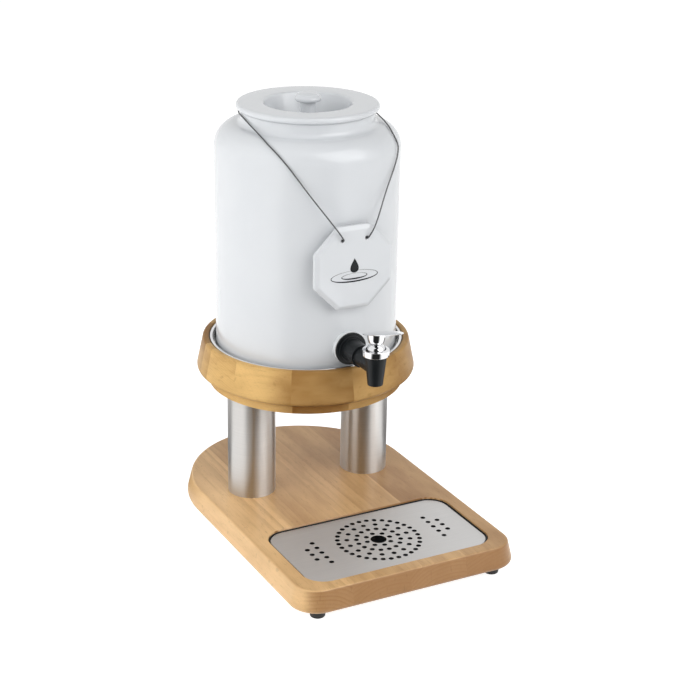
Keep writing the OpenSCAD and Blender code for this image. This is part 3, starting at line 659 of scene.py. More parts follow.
@dataclass(frozen=True)
class BrushedSteel:
    """Stainless steel with fine brush marks."""

    name: str
    brush: Brush
    colour: Colour = (0.6, 0.585, 0.565)
    roughness: float = 0.3
    stretch: float = 0.0
    # Near-black painted on faces that don't face up or down: painted shade in the grid's holes and round its rim.
    edge: Colour = (0.03, 0.03, 0.03)
    dulling: float = 0.92
    broad_share: float = 0.15
    rough_spread: float = 0.1
    stretch_turn: float = 0.25
    relief: float = 0.00002
    relief_share: float = 0.25

    CELLS = {
        Brush.LEVEL: ((14, 14, 2600), (6, 6, 420)),
        Brush.ACROSS: ((26, 2600, 2600), (9, 420, 420)),
    }

    def material(self) -> Material:
        """Builds the steel.

        Returns:
            The material.
        """
        shade = Shade(bpy.data.materials.new(self.name))
        place = shade.place()
        fine_cells, broad_cells = self.CELLS[self.brush]
        fine = shade.noise(shade.stretched(place, fine_cells), 1, 3, 0.7)
        broad = shade.noise(shade.stretched(place, broad_cells), 1, 2, 0.6)
        marks = fine * (1 - self.broad_share) + broad * self.broad_share
        darker = tuple(c * self.dulling for c in self.colour)
        colour = shade.mix(marks.step(0.3, 0.7), darker, self.colour)
        # Painted shade: on the flat plate, the hole walls and the rim take the near-black edge colour.
        if self.brush is Brush.ACROSS:
            colour = shade.mix(shade.facing()[2].step(0.3, 0.8), self.edge, colour)
        return shade.surface(
            Base_Color=colour,
            Metallic=1.0,
            Roughness=self.roughness + (marks - 0.5) * self.rough_spread,
            Anisotropic=self.stretch,
            Anisotropic_Rotation=self.stretch_turn,
            Normal=shade.bump(marks, self.relief, self.relief_share),
        )


@dataclass(frozen=True)
class PlainMetal:
    """Polished or plated metal with a trace of wear."""

    name: str
    colour: Colour
    roughness: float
    wear: float
    dulling: float = 0.86
    relief: float = 0.000006

    def material(self) -> Material:
        """Builds the metal.

        Returns:
            The material.
        """
        shade = Shade(bpy.data.materials.new(self.name))
        where = shade.where()
        smudge = shade.noise(where, 90, 4, 0.6)
        scuff = shade.noise(where, 1400, 2, 0.5)
        dull = tuple(c * self.dulling for c in self.colour)
        return shade.surface(
            Base_Color=shade.mix(smudge.step(0.35, 0.75) * 0.5, self.colour, dull),
            Metallic=1.0,
            Roughness=self.roughness + smudge.step(0.4, 0.8) * self.wear,
            Normal=shade.bump(scuff, self.relief, self.wear * 4),
        )


@dataclass(frozen=True)
class Glaze:
    """White glazed ceramic, slightly uneven."""

    name: str
    colour: Colour
    tint: Colour
    roughness: float = 0.2
    rough_spread: float = 0.05
    relief: float = 0.0002
    relief_share: float = 0.1
    coat: float = 0.2
    coat_roughness: float = 0.1

    def material(self) -> Material:
        """Builds the glaze.

        Returns:
            The material.
        """
        shade = Shade(bpy.data.materials.new(self.name))
        where = shade.where()
        cloud = shade.noise(where, 14, 3, 0.5)
        pinhole = shade.noise(where, 700, 1, 0.5).step(0.78, 0.84)
        wave = shade.noise(where, 38, 2, 0.5)
        return shade.surface(
            Base_Color=shade.mix(cloud.step(0.3, 0.75) * 0.6 + pinhole * 0.2, self.colour, self.tint),
            Roughness=self.roughness + (cloud - 0.5) * self.rough_spread,
            Normal=shade.bump(wave, self.relief, self.relief_share),
            Coat_Weight=self.coat,
            Coat_Roughness=self.coat_roughness,
        )


@dataclass(frozen=True)
class Moulding:
    """Moulded plastic, rubber or silicone with a fine grain."""

    name: str
    colour: Colour
    lift: Colour
    roughness: float
    grain: float
    shine: float = 0.5
    rough_spread: float = 0.12
    relief: float = 0.00003

    def material(self) -> Material:
        """Builds the moulding.

        Returns:
            The material.
        """
        shade = Shade(bpy.data.materials.new(self.name))
        where = shade.where()
        cloud = shade.noise(where, 60, 3, 0.6)
        spark = shade.noise(where, 2200, 2, 0.6)
        return shade.surface(
            Base_Color=shade.mix(cloud.step(0.3, 0.8) * 0.7, self.colour, self.lift),
            Roughness=self.roughness + (cloud - 0.5) * self.rough_spread,
            Specular_IOR_Level=self.shine,
            Normal=shade.bump(spark, self.relief, self.grain),
        )


class Finishes:
    """All finishes, made once, by the slot that they belong to."""

    BOARD = Beech(
        "beech_board",
        Grain.STAVES,
        pale=(0.82, 0.535, 0.257),
        warm=(0.285, 0.14, 0.048),
        late=(0.31, 0.15, 0.054),
        pore=(0.17, 0.08, 0.032),
        pitch=0.0595,
        start=-0.064,
        seed=4510,
        tone_share=0.65,
    )
    RING = Beech(
        "beech_ring",
        Grain.SEGMENTS,
        pale=(0.9, 0.595, 0.238),
        warm=(0.15, 0.048, 0.001),
        late=(0.25, 0.105, 0.02),
        pore=(0.15, 0.065, 0.016),
        pitch=math.tau / 11,
        start=math.radians(-91.3),
        seed=54470,
        tone_share=0.7,
        # Painted shade between the segments.
        painted_shade_drift=0.75,
        streak_share=0.18,
        sheen=0.08,
        ring_pitch=0.0021,
        ring_share=0.22,
        slant=2.4,
    )
    ALL = (
        BOARD,
        RING,
        BrushedSteel("brushed_column", Brush.LEVEL, (0.63, 0.614, 0.594), 0.36, 0.92),
        BrushedSteel("brushed_grid", Brush.ACROSS, (0.65, 0.645, 0.64), 0.58),
        PlainMetal("polished_tub", (0.72, 0.72, 0.72), 0.09, 0.08),
        PlainMetal("zinc_steel", (0.55, 0.56, 0.58), 0.3, 0.14),
        PlainMetal("steel_cord", (0.135, 0.137, 0.139), 0.36, 0.12),
        PlainMetal("chrome_cap", (0.8, 0.8, 0.81), 0.045, 0.035),
        Glaze("porcelain", (0.644, 0.66, 0.677), (0.614, 0.632, 0.655)),
        Moulding("black_plastic", (0.007, 0.0085, 0.0095), (0.011, 0.013, 0.0145), 0.36, 0.25, 0.22),
        Moulding("rubber_foot", (0.012, 0.012, 0.012), (0.022, 0.022, 0.021), 0.62, 0.8),
        Moulding("silicone", (0.62, 0.62, 0.61), (0.55, 0.55, 0.54), 0.5, 0.4),
        Moulding("white_plastic", (0.72, 0.72, 0.70), (0.66, 0.66, 0.64), 0.38, 0.3),
        Moulding("pack_blue", (0.03, 0.15, 0.42), (0.04, 0.19, 0.5), 0.4, 0.5),
        Moulding("pack_dark", (0.008, 0.02, 0.09), (0.012, 0.03, 0.12), 0.42, 0.5),
    )

    def __init__(self) -> None:
        """Makes every material."""
        self.made = {finish.name: finish.material() for finish in self.ALL}

    def of(self, node: str) -> Material:
        """The material of a node's slot."""
        return self.made[SLOT_OF[node]]


# Repeats


class Pattern(Tree):
    """Builds one tree of geometry nodes for what repeats."""

    def __init__(self, name: str) -> None:
        """Starts an empty tree.

        Args:
            name: Name of the tree.
        """
        self.tree = bpy.data.node_groups.new(name, "GeometryNodeTree")
        self.tree.interface.new_socket("Geometry", in_out="INPUT", socket_type="NodeSocketGeometry")
        self.tree.interface.new_socket("Geometry", in_out="OUTPUT", socket_type="NodeSocketGeometry")
        self.start = self.tree.nodes.new("NodeGroupInput")
        self.values: Values = {}

    def given(self, label: str, value: Any) -> Socket:
        """Adds a named input.

        Args:
            label: Name of the input.
            value: A whole number or a size.

        Returns:
            The socket that gives it inside the tree.
        """
        kind = "NodeSocketInt" if isinstance(value, int) else "NodeSocketFloat"
        made = self.tree.interface.new_socket(label, in_out="INPUT", socket_type=kind)
        self.values[made.identifier] = value
        return next(s for s in self.start.outputs if s.identifier == made.identifier)

    def shape(self, kind: str, sockets: Values, **settings: Any) -> Socket:
        """First output of a new node."""
        return self.node(kind, sockets, **settings).outputs[0]

    def cylinder(self, corners: int, radius: Socket, depth: Any) -> Socket:
        """Upright cylinder about the origin."""
        return self.shape("GeometryNodeMeshCylinder", {"Vertices": corners, "Radius": radius, "Depth": depth})

    def moved(self, shape: Socket, by: Point) -> Socket:
        """Moves a shape."""
        return self.shape("GeometryNodeTransform", {"Geometry": shape, "Translation": by})

    def repeated(self, points: Socket, shape: Socket) -> Socket:
        """Sets a copy of a shape at each point."""
        return self.shape("GeometryNodeInstanceOnPoints", {"Points": points, "Instance": shape})

    def joined(self, shapes: list[Socket]) -> Socket:
        """Joins overlapping meshes into one."""
        return self.shape("GeometryNodeMeshBoolean", {"Mesh 2": shapes}, operation="UNION", solver="EXACT")

    def cut(self, shape: Socket, tools: Socket) -> Socket:
        """Cuts meshes out of a mesh."""
        sockets = {"Mesh 1": shape, "Mesh 2": tools}
        return self.shape("GeometryNodeMeshBoolean", sockets, operation="DIFFERENCE", solver="EXACT")

    def applied(self, piece: Piece, shape: Socket, material: Material) -> Piece:
        """Ends the tree and turns its result into the piece's plain mesh.

        Args:
            piece: Object that feeds the tree.
            shape: The tree's last geometry.
            material: Material of the result.

        Returns:
            The same object.
        """
        real = self.shape("GeometryNodeRealizeInstances", {"Geometry": shape})
        done = self.shape("GeometryNodeSetMaterial", {"Geometry": real, "Material": material})
        end = self.tree.nodes.new("NodeGroupOutput")
        self.tree.links.new(done, end.inputs[0])
        work = piece.modifiers.new("pattern", "NODES")
        work.node_group = self.tree
        for identifier, value in self.values.items():
            work[identifier] = value
        settled(piece)
        bpy.data.node_groups.remove(self.tree)
        return piece


# Sub-assemblies


def outline(half_w: float, front: float, back: float, radius: float, inset: float, z: float) -> list[Vector]:
    """Rounded rectangle, drawn in by an inset.

    Args:
        half_w: Half of its width.
        front: Front edge.
        back: Back edge.
        radius: Corner radius before the inset.
        inset: How far it is drawn in.
        z: Height.

    Returns:
        Its corners, counter-clockwise.
    """
    r = max(radius - inset, MERGE)
    right, near, far = half_w - radius, front + radius, back - radius
    middles = [(right, near, -90), (right, far, 0), (-right, far, 90), (-right, near, 180)]
    return [Vector((*p, z)) for x, y, a in middles for p in arc((x, y), r, a, a + 90, 16)]


def seat_of(node: str) -> Vector:
    """Middle of the lower face of a node's box."""
    low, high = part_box(node)
    return Vector(((low.x + high.x) / 2, (low.y + high.y) / 2, low.z))


@dataclass
class Assembly:
    """A sub-assembly that dresses its pieces in the shared finishes."""

    finishes: Finishes

    def dress(self, piece: Piece, *nodes: str) -> Piece:
        """Gives a piece its finish and lets it stand for its nodes.

        Args:
            piece: The finished piece.
            nodes: Nodes that it stands for; it rides on the first one's body.

        Returns:
            The same object.
        """
        piece.data.materials.clear()
        piece.data.materials.append(self.finishes.of(nodes[0]))
        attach(piece, BODY_OF[nodes[0]])
        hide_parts(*nodes)
        log.info("%s: %d faces, stands for %s", piece.name, len(piece.data.polygons), ", ".join(nodes))
        return piece


@dataclass
class Stand(Assembly):
    """Beech board on rubber feet, with the columns and what ties them together."""

    corner: float = 0.027
    lean: float = 0.004
    low_round: float = 0.004
    top_round: float = 0.002
    rim: float = 0.0005
    rod_hole: float = 0.00305
    well: float = 0.01
    well_depth: float = 0.0076
    screw_hole: float = 0.0018
    screw_depth: float = 0.01005
    seat: float = 0.002
    overrun: float = 0.001
    tray_corner: float = 0.021
    tray_gap: float = 0.0005
    foot_round: float = 0.0012
    foot_web: float = 0.003
    head_r: float = 0.0035
    head_h: float = 0.0024
    cross_w: float = 0.0011
    cross_l: float = 0.0042
    cross_depth: float = 0.0014
    head_gap: float = 0.001
    screw_gap: float = 0.00005
    screw_round: float = 0.00025
    edge_round: float = 0.0004
    foot_taper: float = 0.001
    foot_lip: float = 0.0003
    column_wall: float = 0.002
    column_round: float = 0.0003
    tie_round: float = 0.0003

    FEET = ("foot_front_left", "foot_front_right", "foot_back_left", "foot_back_right")
    COLUMNS = ("column_left", "column_right")

    def board_rings(self, low: Vector, high: Vector) -> list[list[Vector]]:
        """Outlines of the board from its lower face up.

        Args:
            low: Lowest corner of the board.
            high: Highest corner of the board.

        Returns:
            Rings of corners for a loft.
        """
        half, tall = high.x, high.z - low.z
        slope = math.degrees(math.atan(self.lean / tall))
        top_in = self.lean + self.top_round
        edge = [(half - self.low_round - self.rim, 0.0)]
        edge += arc((half - self.low_round, self.low_round), self.low_round, -90, slope, 8)
        edge += arc((half - top_in, tall - self.top_round), self.top_round, slope, 90, 6)
        edge += [(half - top_in - self.rim, tall)]
        return [self.board_outline(low, high, half - x, low.z + h) for x, h in edge]

    def board_outline(self, low: Vector, high: Vector, inset: float, z: float) -> list[Vector]:
        """Plan of the board: two front corners and a round back.

        Args:
            low: Lowest corner of the board.
            high: Highest corner of the board.
            inset: How far the plan is drawn in.
            z: Height.

        Returns:
            Its corners, counter-clockwise.
        """
        side, near = high.x - self.corner, low.y + self.corner
        plan = arc((side, near), self.corner - inset, -90, 0, 16)
        plan += arc((0, high.y - high.x), high.x - inset, 0, 180, 128)
        plan += arc((-side, near), self.corner - inset, 180, 270, 16)
        return [Vector((x, y, z)) for x, y in plan]

    def drill(self, x: float, y: float, radius: float, bottom: float, top: float) -> Piece:
        """Upright cylinder that cuts a hole."""
        section = [(0, bottom), (radius, bottom), (radius, top), (0, top)]
        return turned("drill", section, Vector((x, y, 0)), Axis.UP, 48)

    def board(self) -> None:
        """Makes the board with its recess, column seats, rod wells and screw holes."""
        low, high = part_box("base_board")
        board = lofted("base_board_mesh", self.board_rings(low, high))
        pan_low, pan_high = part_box("drip_pan")
        half, front, back = pan_high.x + self.tray_gap, pan_low.y - self.tray_gap, pan_high.y + self.tray_gap
        levels = (pan_low.z, high.z + self.overrun)
        tools = [lofted("recess", [outline(half, front, back, self.tray_corner, 0, z) for z in levels])]
        for node in self.COLUMNS:
            foot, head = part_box(node)
            x, y = seat_of(node).xy
            tools.append(self.drill(x, y, (head.x - foot.x) / 2, high.z - self.seat, high.z + self.overrun))
            tools.append(self.drill(x, y, self.rod_hole, low.z, high.z - self.overrun))
            tools.append(self.drill(x, y, self.well, low.z - self.overrun, low.z + self.well_depth))
        for x, y in self.foot_places():
            tools.append(self.drill(x, y, self.screw_hole, low.z - self.overrun, low.z + self.screw_depth))
        self.dress(eased(cut(board, *tools), self.edge_round), "base_board")

    def foot_places(self) -> list[Vector]:
        """Middles of the four feet."""
        return [seat_of(node).xy for node in self.FEET]

    def feet(self) -> None:
        """Turns the rubber feet, each with a sunk seat for its screw."""
        for node, (x, y) in zip(self.FEET, self.foot_places()):
            low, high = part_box(node)
            wide, tall, small = (high.x - low.x) / 2, high.z - low.z, self.foot_round
            tip, lip = wide - self.foot_taper, self.foot_lip
            seat, hole = self.head_r + self.head_gap, self.screw_hole
            section = [(seat, lip), (seat + lip, 0.0)] + arc((tip - small, small), small, -90, 0, 6)
            section += arc((wide - small / 2, tall - small / 2), small / 2, 0, 90, 4)
            section += [(hole, tall), (hole, tall - self.foot_web), (seat, tall - self.foot_web)]
            self.dress(turned(node + "_mesh", section, Vector((x, y, 0)), Axis.UP, 64), node)

    def screws(self) -> None:
        """Sets a cross-headed screw in each foot."""
        low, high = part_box("foot_screws")
        points = bpy.data.meshes.new("foot_screws_mesh")
        points.from_pydata([(x, y, low.z) for x, y in self.foot_places()], [], [])
        screws = placed("foot_screws_mesh", points)
        pattern = Pattern("screws")
        head_r = pattern.given("Head radius", self.head_r)
        head_h = pattern.given("Head height", self.head_h)
        shank_r = pattern.given("Shank radius", self.screw_hole - self.screw_gap)
        shank_h = pattern.given("Shank length", high.z - low.z)
        head = pattern.moved(pattern.cylinder(48, head_r, head_h), (0, 0, self.head_h / 2))
        rise = (high.z - low.z) / 2 + self.cross_depth
        shank = pattern.moved(pattern.cylinder(32, shank_r, shank_h), (0, 0, rise))
        long, wide, deep = self.cross_l, self.cross_w, 2 * self.cross_depth
        sizes = ((long, wide, deep), (wide, long, deep))
        slots = [pattern.shape("GeometryNodeMeshCube", {"Size": size}) for size in sizes]
        screw = pattern.cut(pattern.joined([head, shank]), pattern.joined(slots))
        many = pattern.repeated(pattern.start.outputs[0], screw)
        pattern.applied(screws, many, self.finishes.of("foot_screws"))
        self.dress(eased(screws, self.screw_round), "foot_screws")

    def columns(self) -> None:
        """Turns the two steel tubes."""
        for node in self.COLUMNS:
            low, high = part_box(node)
            r, tall, soft = (high.x - low.x) / 2, high.z - low.z, self.column_round
            inner = r - self.column_wall
            section = [(inner, 0), (r - soft, 0), (r, soft)]
            section += [(r, tall - soft), (r - soft, tall), (inner, tall)]
            self.dress(turned(node + "_mesh", section, seat_of(node), Axis.UP, 160), node)

    def build(self) -> None:
        """Makes the whole stand."""
        self.board()
        self.feet()
        self.screws()
        self.columns()
        for node in ("tie_rods", "tie_nuts", "tie_washers"):
            self.dress(copied(node, self.tie_round), node)


@dataclass
class RingSeat(Assembly):
    """Beech ring on its floor disc, with the steel tub and the cooling pack in it."""

    belly_w: float = 0.0121
    top_w: float = 0.0065
    foot_w: float = 0.0025
    belly_h: float = 0.006
    belly_round: float = 0.004
    top_round: float = 0.0025
    bore_round: float = 0.0015
    tub_rim_w: float = 0.003
    tub_rim_h: float = 0.0016
    tub_t: float = 0.001
    tub_bend: float = 0.003
    floor_round: float = 0.0006
    pack_round: float = 0.001
    plug_round: float = 0.0005

    def ring(self) -> None:
        """Turns the ring: lower chamfer, rounded belly, leaning side and rounded top."""
        low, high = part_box("ring_collar")
        belly = high.x
        bore, tall = belly - self.belly_w, high.z - low.z
        foot, top = bore + self.foot_w, bore + self.top_w
        under = math.degrees(math.atan2(self.belly_h, belly - foot)) - 90
        lean = math.degrees(math.atan2(belly - top, tall - self.belly_h))
        swell = self.belly_round
        section = [(bore, 0), (foot, 0)]
        section += arc((belly - swell, self.belly_h + swell / 2), swell, under, lean, 12)
        section += arc((top - self.top_round, tall - self.top_round), self.top_round, lean, 90, 10)
        section += arc((bore + self.bore_round, tall - self.bore_round), self.bore_round, 90, 180, 6)
        ring = turned("ring_collar_mesh", section, seat_of("ring_collar"), Axis.UP, 288)
        self.dress(ring, "ring_collar")

    def tub(self) -> None:
        """Turns the steel tub with its rolled rim."""
        low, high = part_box("tub")
        rim, tall = high.x, high.z - low.z
        inner = rim - self.tub_rim_w
        outer, half = inner + self.tub_t, self.tub_rim_h / 2
        bend = (outer - self.tub_bend, self.tub_bend)
        section = [(0, 0)] + arc(bend, self.tub_bend, -90, 0, 8) + [(outer, tall - self.tub_rim_h)]
        section += arc((rim - half, tall - half), half, -90, 90, 10)
        section += arc((inner + half, tall - half), half, 90, 180, 6)
        section += arc(bend, self.tub_bend - self.tub_t, 0, -90, 8) + [(0, self.tub_t)]
        self.dress(turned("tub_mesh", section, seat_of("tub"), Axis.UP, 288), "tub")

    def build(self) -> None:
        """Makes the ring and what sits in it."""
        self.ring()
        self.tub()
        widths = {"ring_floor": self.floor_round, "cool_pack": self.pack_round, "pack_plug": self.plug_round}
        for node, width in widths.items():
            self.dress(copied(node, width), node)


@dataclass
class Vessel(Assembly):
    """Glazed pot and its lid."""

    wall: float = 0.006
    neck_in: float = 0.0248
    neck_h: float = 0.008
    shoulder_r: float = 0.022
    neck_fillet: float = 0.005
    rim_round: float = 0.002
    hollow_h: float = 0.023
    floor_t: float = 0.006
    foot_w: float = 0.008
    low_round: float = 0.003
    inner_round: float = 0.004
    hollow_round: float = 0.004
    boss_r: float = 0.016
    boss_round: float = 0.0012
    pad_r: float = 0.014
    pad_in: float = 0.0023
    hole_r: float = 0.0078
    lid_t: float = 0.006
    brim_w: float = 0.0265
    well_lean: float = 0.005
    well_depth: float = 0.022
    lid_wall: float = 0.005
    lid_round: float = 0.0028
    well_round: float = 0.003
    knob_r: float = 0.0125
    knob_rise: float = 0.009
    knob_h: float = 0.0085
    knob_stem_r: float = 0.00735
    knob_neck: float = 0.003
    knob_under: float = 110
    knob_side: float = 70
    plug_gap: float = 0.0015
    plug_wall: float = 0.004
    plug_h: float = 0.006
    crease: float = 40

    def pot(self) -> None:
        """Turns the pot, then adds the boss for the tap and drills it."""
        low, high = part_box("pot")
        r, tall = high.x, high.z - low.z
        inside, hollow, neck = r - self.wall, r - self.foot_w, r - self.neck_in
        floor = self.hollow_h + self.floor_t
        turn_r, turn_x, neck_z = self.shoulder_r, r - self.shoulder_r, tall - self.neck_h
        fillet_x = neck + self.neck_fillet
        shoulder_z = neck_z - math.sqrt((turn_r + self.neck_fillet) ** 2 - (fillet_x - turn_x) ** 2)
        touch = math.degrees(math.atan2(neck_z - shoulder_z, fillet_x - turn_x))
        soft = self.rim_round
        section = [(hollow, 0)] + arc((r - self.low_round, self.low_round), self.low_round, -90, 0, 6)
        section += arc((turn_x, shoulder_z), turn_r, 0, touch, 20)
        section += arc((fillet_x, neck_z), self.neck_fillet, touch - 180, -180, 10)
        section += arc((neck - soft, tall - soft), soft, 0, 90, 6)
        section += arc((neck - self.wall + soft, tall - soft), soft, 90, 180, 6)
        section += arc((fillet_x, neck_z), self.neck_fillet + self.wall, 180, touch + 180, 10)
        section += arc((turn_x, shoulder_z), turn_r - self.wall, touch, 0, 14)
        section += arc((inside - self.inner_round, floor + self.inner_round), self.inner_round, 0, -90, 6)
        section += [(0, floor), (0, self.hollow_h)]
        bend = self.hollow_round
        section += arc((hollow - bend, self.hollow_h - bend), bend, 90, 0, 6)
        middle = Vector((0, high.y - r, low.z))
        pot = turned("pot_mesh", section, middle, Axis.UP, 240)
        self.boss(pot, middle.y - r, low.y)
        self.dress(pot, "pot")

    def boss(self, pot: Piece, front: float, face: float) -> None:
        """Joins the tap's boss and inner pad to the pot and drills the shank hole.

        Args:
            pot: The turned pot.
            front: Front of the turned pot.
            face: Front of the boss.
        """
        low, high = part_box("tap_body")
        axis_z = sum(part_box("tap_outer_gasket")[k].z for k in (0, 1)) / 2
        start, pad = front + self.wall / 2, front + self.wall + self.pad_in
        deep, soft = start - face, self.boss_round
        section = [(0, 0), (self.boss_r, 0)]
        section += arc((self.boss_r - soft, deep - soft), soft, 0, 90, 6) + [(0, deep)]
        boss = turned("boss", section, Vector((0, start, axis_z)), Axis.FRONT, 96)
        inner = [(0, 0), (self.pad_r, 0), (self.pad_r, pad - start), (0, pad - start)]
        inner_pad = turned("pad", inner, Vector((0, pad, axis_z)), Axis.FRONT, 64)
        cut(pot, boss, inner_pad, join=True)
        drill = [(0, 0), (self.hole_r, 0), (self.hole_r, high.y - low.y), (0, high.y - low.y)]
        cut(pot, turned("drill", drill, Vector((0, pad + self.wall, axis_z)), Axis.FRONT, 64))
        pot.data.shade_smooth()
        pot.data.set_sharp_from_angle(angle=math.radians(self.crease))

    def lid(self) -> None:
        """Turns the lid: rim, sunk well, knob, and the collar that finds the neck."""
        low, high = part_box("lid")
        rim = high.x
        middle = Vector((0, (low.y + high.y) / 2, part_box("pot")[1].z))
        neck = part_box("pot")[1].x - self.neck_in
        plug = neck - self.wall - self.plug_gap
        well, floor_h = rim - self.brim_w, self.lid_t - self.well_depth
        floor, top = well - self.well_lean, self.lid_t + self.knob_rise
        under, small = top - self.knob_h, self.knob_h / 3
        dome = (self.knob_r**2 + small**2) / (2 * small)
        dome_a = math.degrees(math.asin((self.knob_r - small) / dome))
        steep = math.degrees(math.atan2(well - floor, self.well_depth))
        base, soft, neck_r = floor_h - self.lid_wall, self.lid_round, self.knob_neck
        section = [(0, base), (floor, base), (well + self.lid_wall / 2, -self.plug_h / 2)]
        section += [(plug - self.plug_wall, -self.plug_h / 2), (plug - self.plug_wall, -self.plug_h)]
        section += [(plug, -self.plug_h), (plug, 0)]
        section += arc((rim - soft, soft), soft, -90, 0, 8)
        section += arc((rim - soft, self.lid_t - soft), soft, 0, 90, 8)
        bend = self.well_round
        section += arc((well + bend, self.lid_t - bend), bend, 90, 180 - steep, 10)
        section += arc((floor - bend, floor_h + bend), bend, -steep, -90, 10)
        section += arc((self.knob_stem_r + neck_r, floor_h + neck_r), neck_r, -90, -180, 8)
        section += arc((self.knob_stem_r + neck_r, under - neck_r / 2), neck_r, 180, self.knob_under, 8)
        section += arc((self.knob_r - small, under + small), small, -90, self.knob_side, 12)
        section += arc((0, top - dome), dome, 90 - dome_a, 90, 12)
        self.dress(turned("lid_mesh", section, middle, Axis.UP, 200), "lid")

    def build(self) -> None:
        """Makes the pot and the lid."""
        self.pot()
        self.lid()


@dataclass
class HangingSign(Assembly):
    """Octagonal ceramic sign with a milk drop on it, and the steel cord that it hangs on."""

    corner: float = 0.004
    bevel: float = 0.0042
    bevel_deep: float = 0.0026
    flat_share: float = 0.7
    back_round: float = 0.001
    corner_share: float = 0.3
    least_corner: float = 0.001
    overrun: float = 0.001
    hole_r: float = 0.0019
    hole_round: float = 0.0005
    hole_drop: float = 0.0125
    hole_apart: float = 0.025
    cord_d: float = 0.0014
    cord_length: float = 0.57
    lay_length: float = 0.0085
    strands: int = 6
    strand_share: float = 0.14
    cord_step: float = 0.0007
    path_step: float = 0.002
    ferrule_r: float = 0.0013
    dent_share: float = 0.8
    crimp_round: float = 0.0003
    ink_t: float = 0.00012
    mark_drop: float = 0.001
    drop_h: float = 0.014
    drop_r: float = 0.0062
    drop_point: float = 1.5
    stroke: float = 0.0014
    stroke_share: float = 0.45
    ripples: tuple[tuple[float, float], ...] = ((0.0245, 0.0056), (0.0135, 0.003))

    INK = "black_plastic"
    CORD_LEFT = (
        (-0.004, -0.0381, 0.309), (-0.0095, -0.0381, 0.309), (-0.0116, -0.039, 0.309),
        (-0.0125, -0.0411, 0.309), (-0.0125, -0.046, 0.309), (-0.0129, -0.048, 0.3099),
        (-0.014, -0.0489, 0.312), (-0.019, -0.0484, 0.3195), (-0.038, -0.0325, 0.349),
        (-0.056, -0.017, 0.378), (-0.061, -0.0092, 0.386), (-0.0642, 0.002, 0.392),
        (-0.065, 0.012, 0.3956), (-0.0646, 0.026, 0.3984), (-0.0647, 0.04, 0.4016),
        (-0.0649, 0.051, 0.4045), (-0.061, 0.074, 0.4065), (-0.0498, 0.0936, 0.4065),
        (-0.0325, 0.108, 0.4065), (-0.0113, 0.1159, 0.4065),
    )
    CORD_RIGHT = (
        (0.0113, 0.1159, 0.4065), (0.0325, 0.108, 0.4065), (0.0498, 0.0936, 0.4065),
        (0.061, 0.074, 0.4065), (0.0649, 0.051, 0.4048), (0.066, 0.035, 0.4004),
        (0.0645, 0.017, 0.397), (0.0608, -0.0018, 0.3925), (0.0624, -0.0106, 0.382),
        (0.0595, -0.0152, 0.373), (0.039, -0.032, 0.346), (0.019, -0.0484, 0.3195),
        (0.014, -0.0489, 0.312), (0.0129, -0.048, 0.3099), (0.0125, -0.046, 0.309),
        (0.0125, -0.0411, 0.309), (0.0116, -0.039, 0.309), (0.0095, -0.0381, 0.309),
        (0.004, -0.0381, 0.309),
    )

    def route(self, step: float) -> list[Vector]:
        """Smooth line through the cord's points.

        Args:
            step: Distance between the points of the line.

        Returns:
            Points of the middle line.
        """
        marks = [Vector(p) for p in self.CORD_LEFT + self.CORD_RIGHT]
        marks = [2 * marks[0] - marks[1], *marks, 2 * marks[-1] - marks[-2]]
        line = []
        for a, b, c, d in zip(marks, marks[1:], marks[2:], marks[3:]):
            t1 = math.sqrt((b - a).length)
            t2 = t1 + math.sqrt((c - b).length)
            t3 = t2 + math.sqrt((d - c).length)
            count = max(2, round((c - b).length / step))
            for i in range(count):
                t = t1 + (t2 - t1) * i / count
                share = (t - t1) / (t2 - t1)
                ab, bc, cd = a.lerp(b, t / t1), b.lerp(c, share), c.lerp(d, (t - t2) / (t3 - t2))
                low, high = ab.lerp(bc, t / t2), bc.lerp(cd, (t - t1) / (t3 - t1))
                line.append(low.lerp(high, share))
        return [*line, marks[-2]]

    def cord(self) -> None:
        """Lays the cord: strands twisted round each other along the route."""
        line = self.route(self.cord_step)
        gone, sections = 0.0, []
        for i, here in enumerate(line):
            gone += (here - line[i - 1]).length if i else 0.0
            twist = math.tau * gone / self.lay_length
            sections.append(self.strand_section(twist))
        cord = swept("sign_cord_mesh", line, sections, Vector((0, 0, 1)))
        cord.data.shade_smooth()
        self.dress(cord, "sign_cord")
        low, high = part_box("cord_ferrule")
        r, half = self.ferrule_r, (high.x - low.x) / 2
        dent, soft = r * self.dent_share, self.crimp_round
        section = [(0, -half), (r - soft, -half), (r, soft - half)]
        for middle in (-half / 2, half / 2):
            section += [(r, middle - 3 * soft), (dent, middle - soft)]
            section += [(dent, middle + soft), (r, middle + 3 * soft)]
        section += [(r, half - soft), (r - soft, half), (0, half)]
        crimp = turned("cord_ferrule_mesh", section, (low + high) / 2, Axis.RIGHT, 48)
        self.dress(crimp, "cord_ferrule")

    def strand_section(self, twist: float) -> Section:
        """Section of the cord, with one bulge for each strand.

        Args:
            twist: Turn of the strands at this place.

        Returns:
            Offsets sideways and upwards.
        """
        r, corners, share = self.cord_d / 2, self.strands * 3, self.strand_share
        section = []
        for k in range(corners):
            angle = math.tau * k / corners
            bulge = r * (1 - share + share * math.cos(angle * self.strands))
            section.append((bulge * math.cos(angle + twist), bulge * math.sin(angle + twist)))
        return section

    def plate_outline(self, middle: Vector, half: float, inset: float, y: float) -> list[Vector]:
        """Octagon with round corners, drawn in by an inset.

        Args:
            middle: Middle of the sign.
            half: Half of its width across flats.
            inset: How far it is drawn in.
            y: Depth of the outline.

        Returns:
            Its corners, in order.
        """
        flat = half - inset
        r = max(self.corner - inset * self.corner_share, self.least_corner)
        reach = (flat - r) / math.cos(math.pi / 8)
        points = []
        for k in range(8):
            turn = 22.5 + 45 * k
            x, z = reach * math.cos(math.radians(turn)), reach * math.sin(math.radians(turn))
            points += arc((x, z), r, turn - 22.5, turn + 22.5, 6)
        return [Vector((middle.x + x, y, middle.z + z)) for x, z in points]

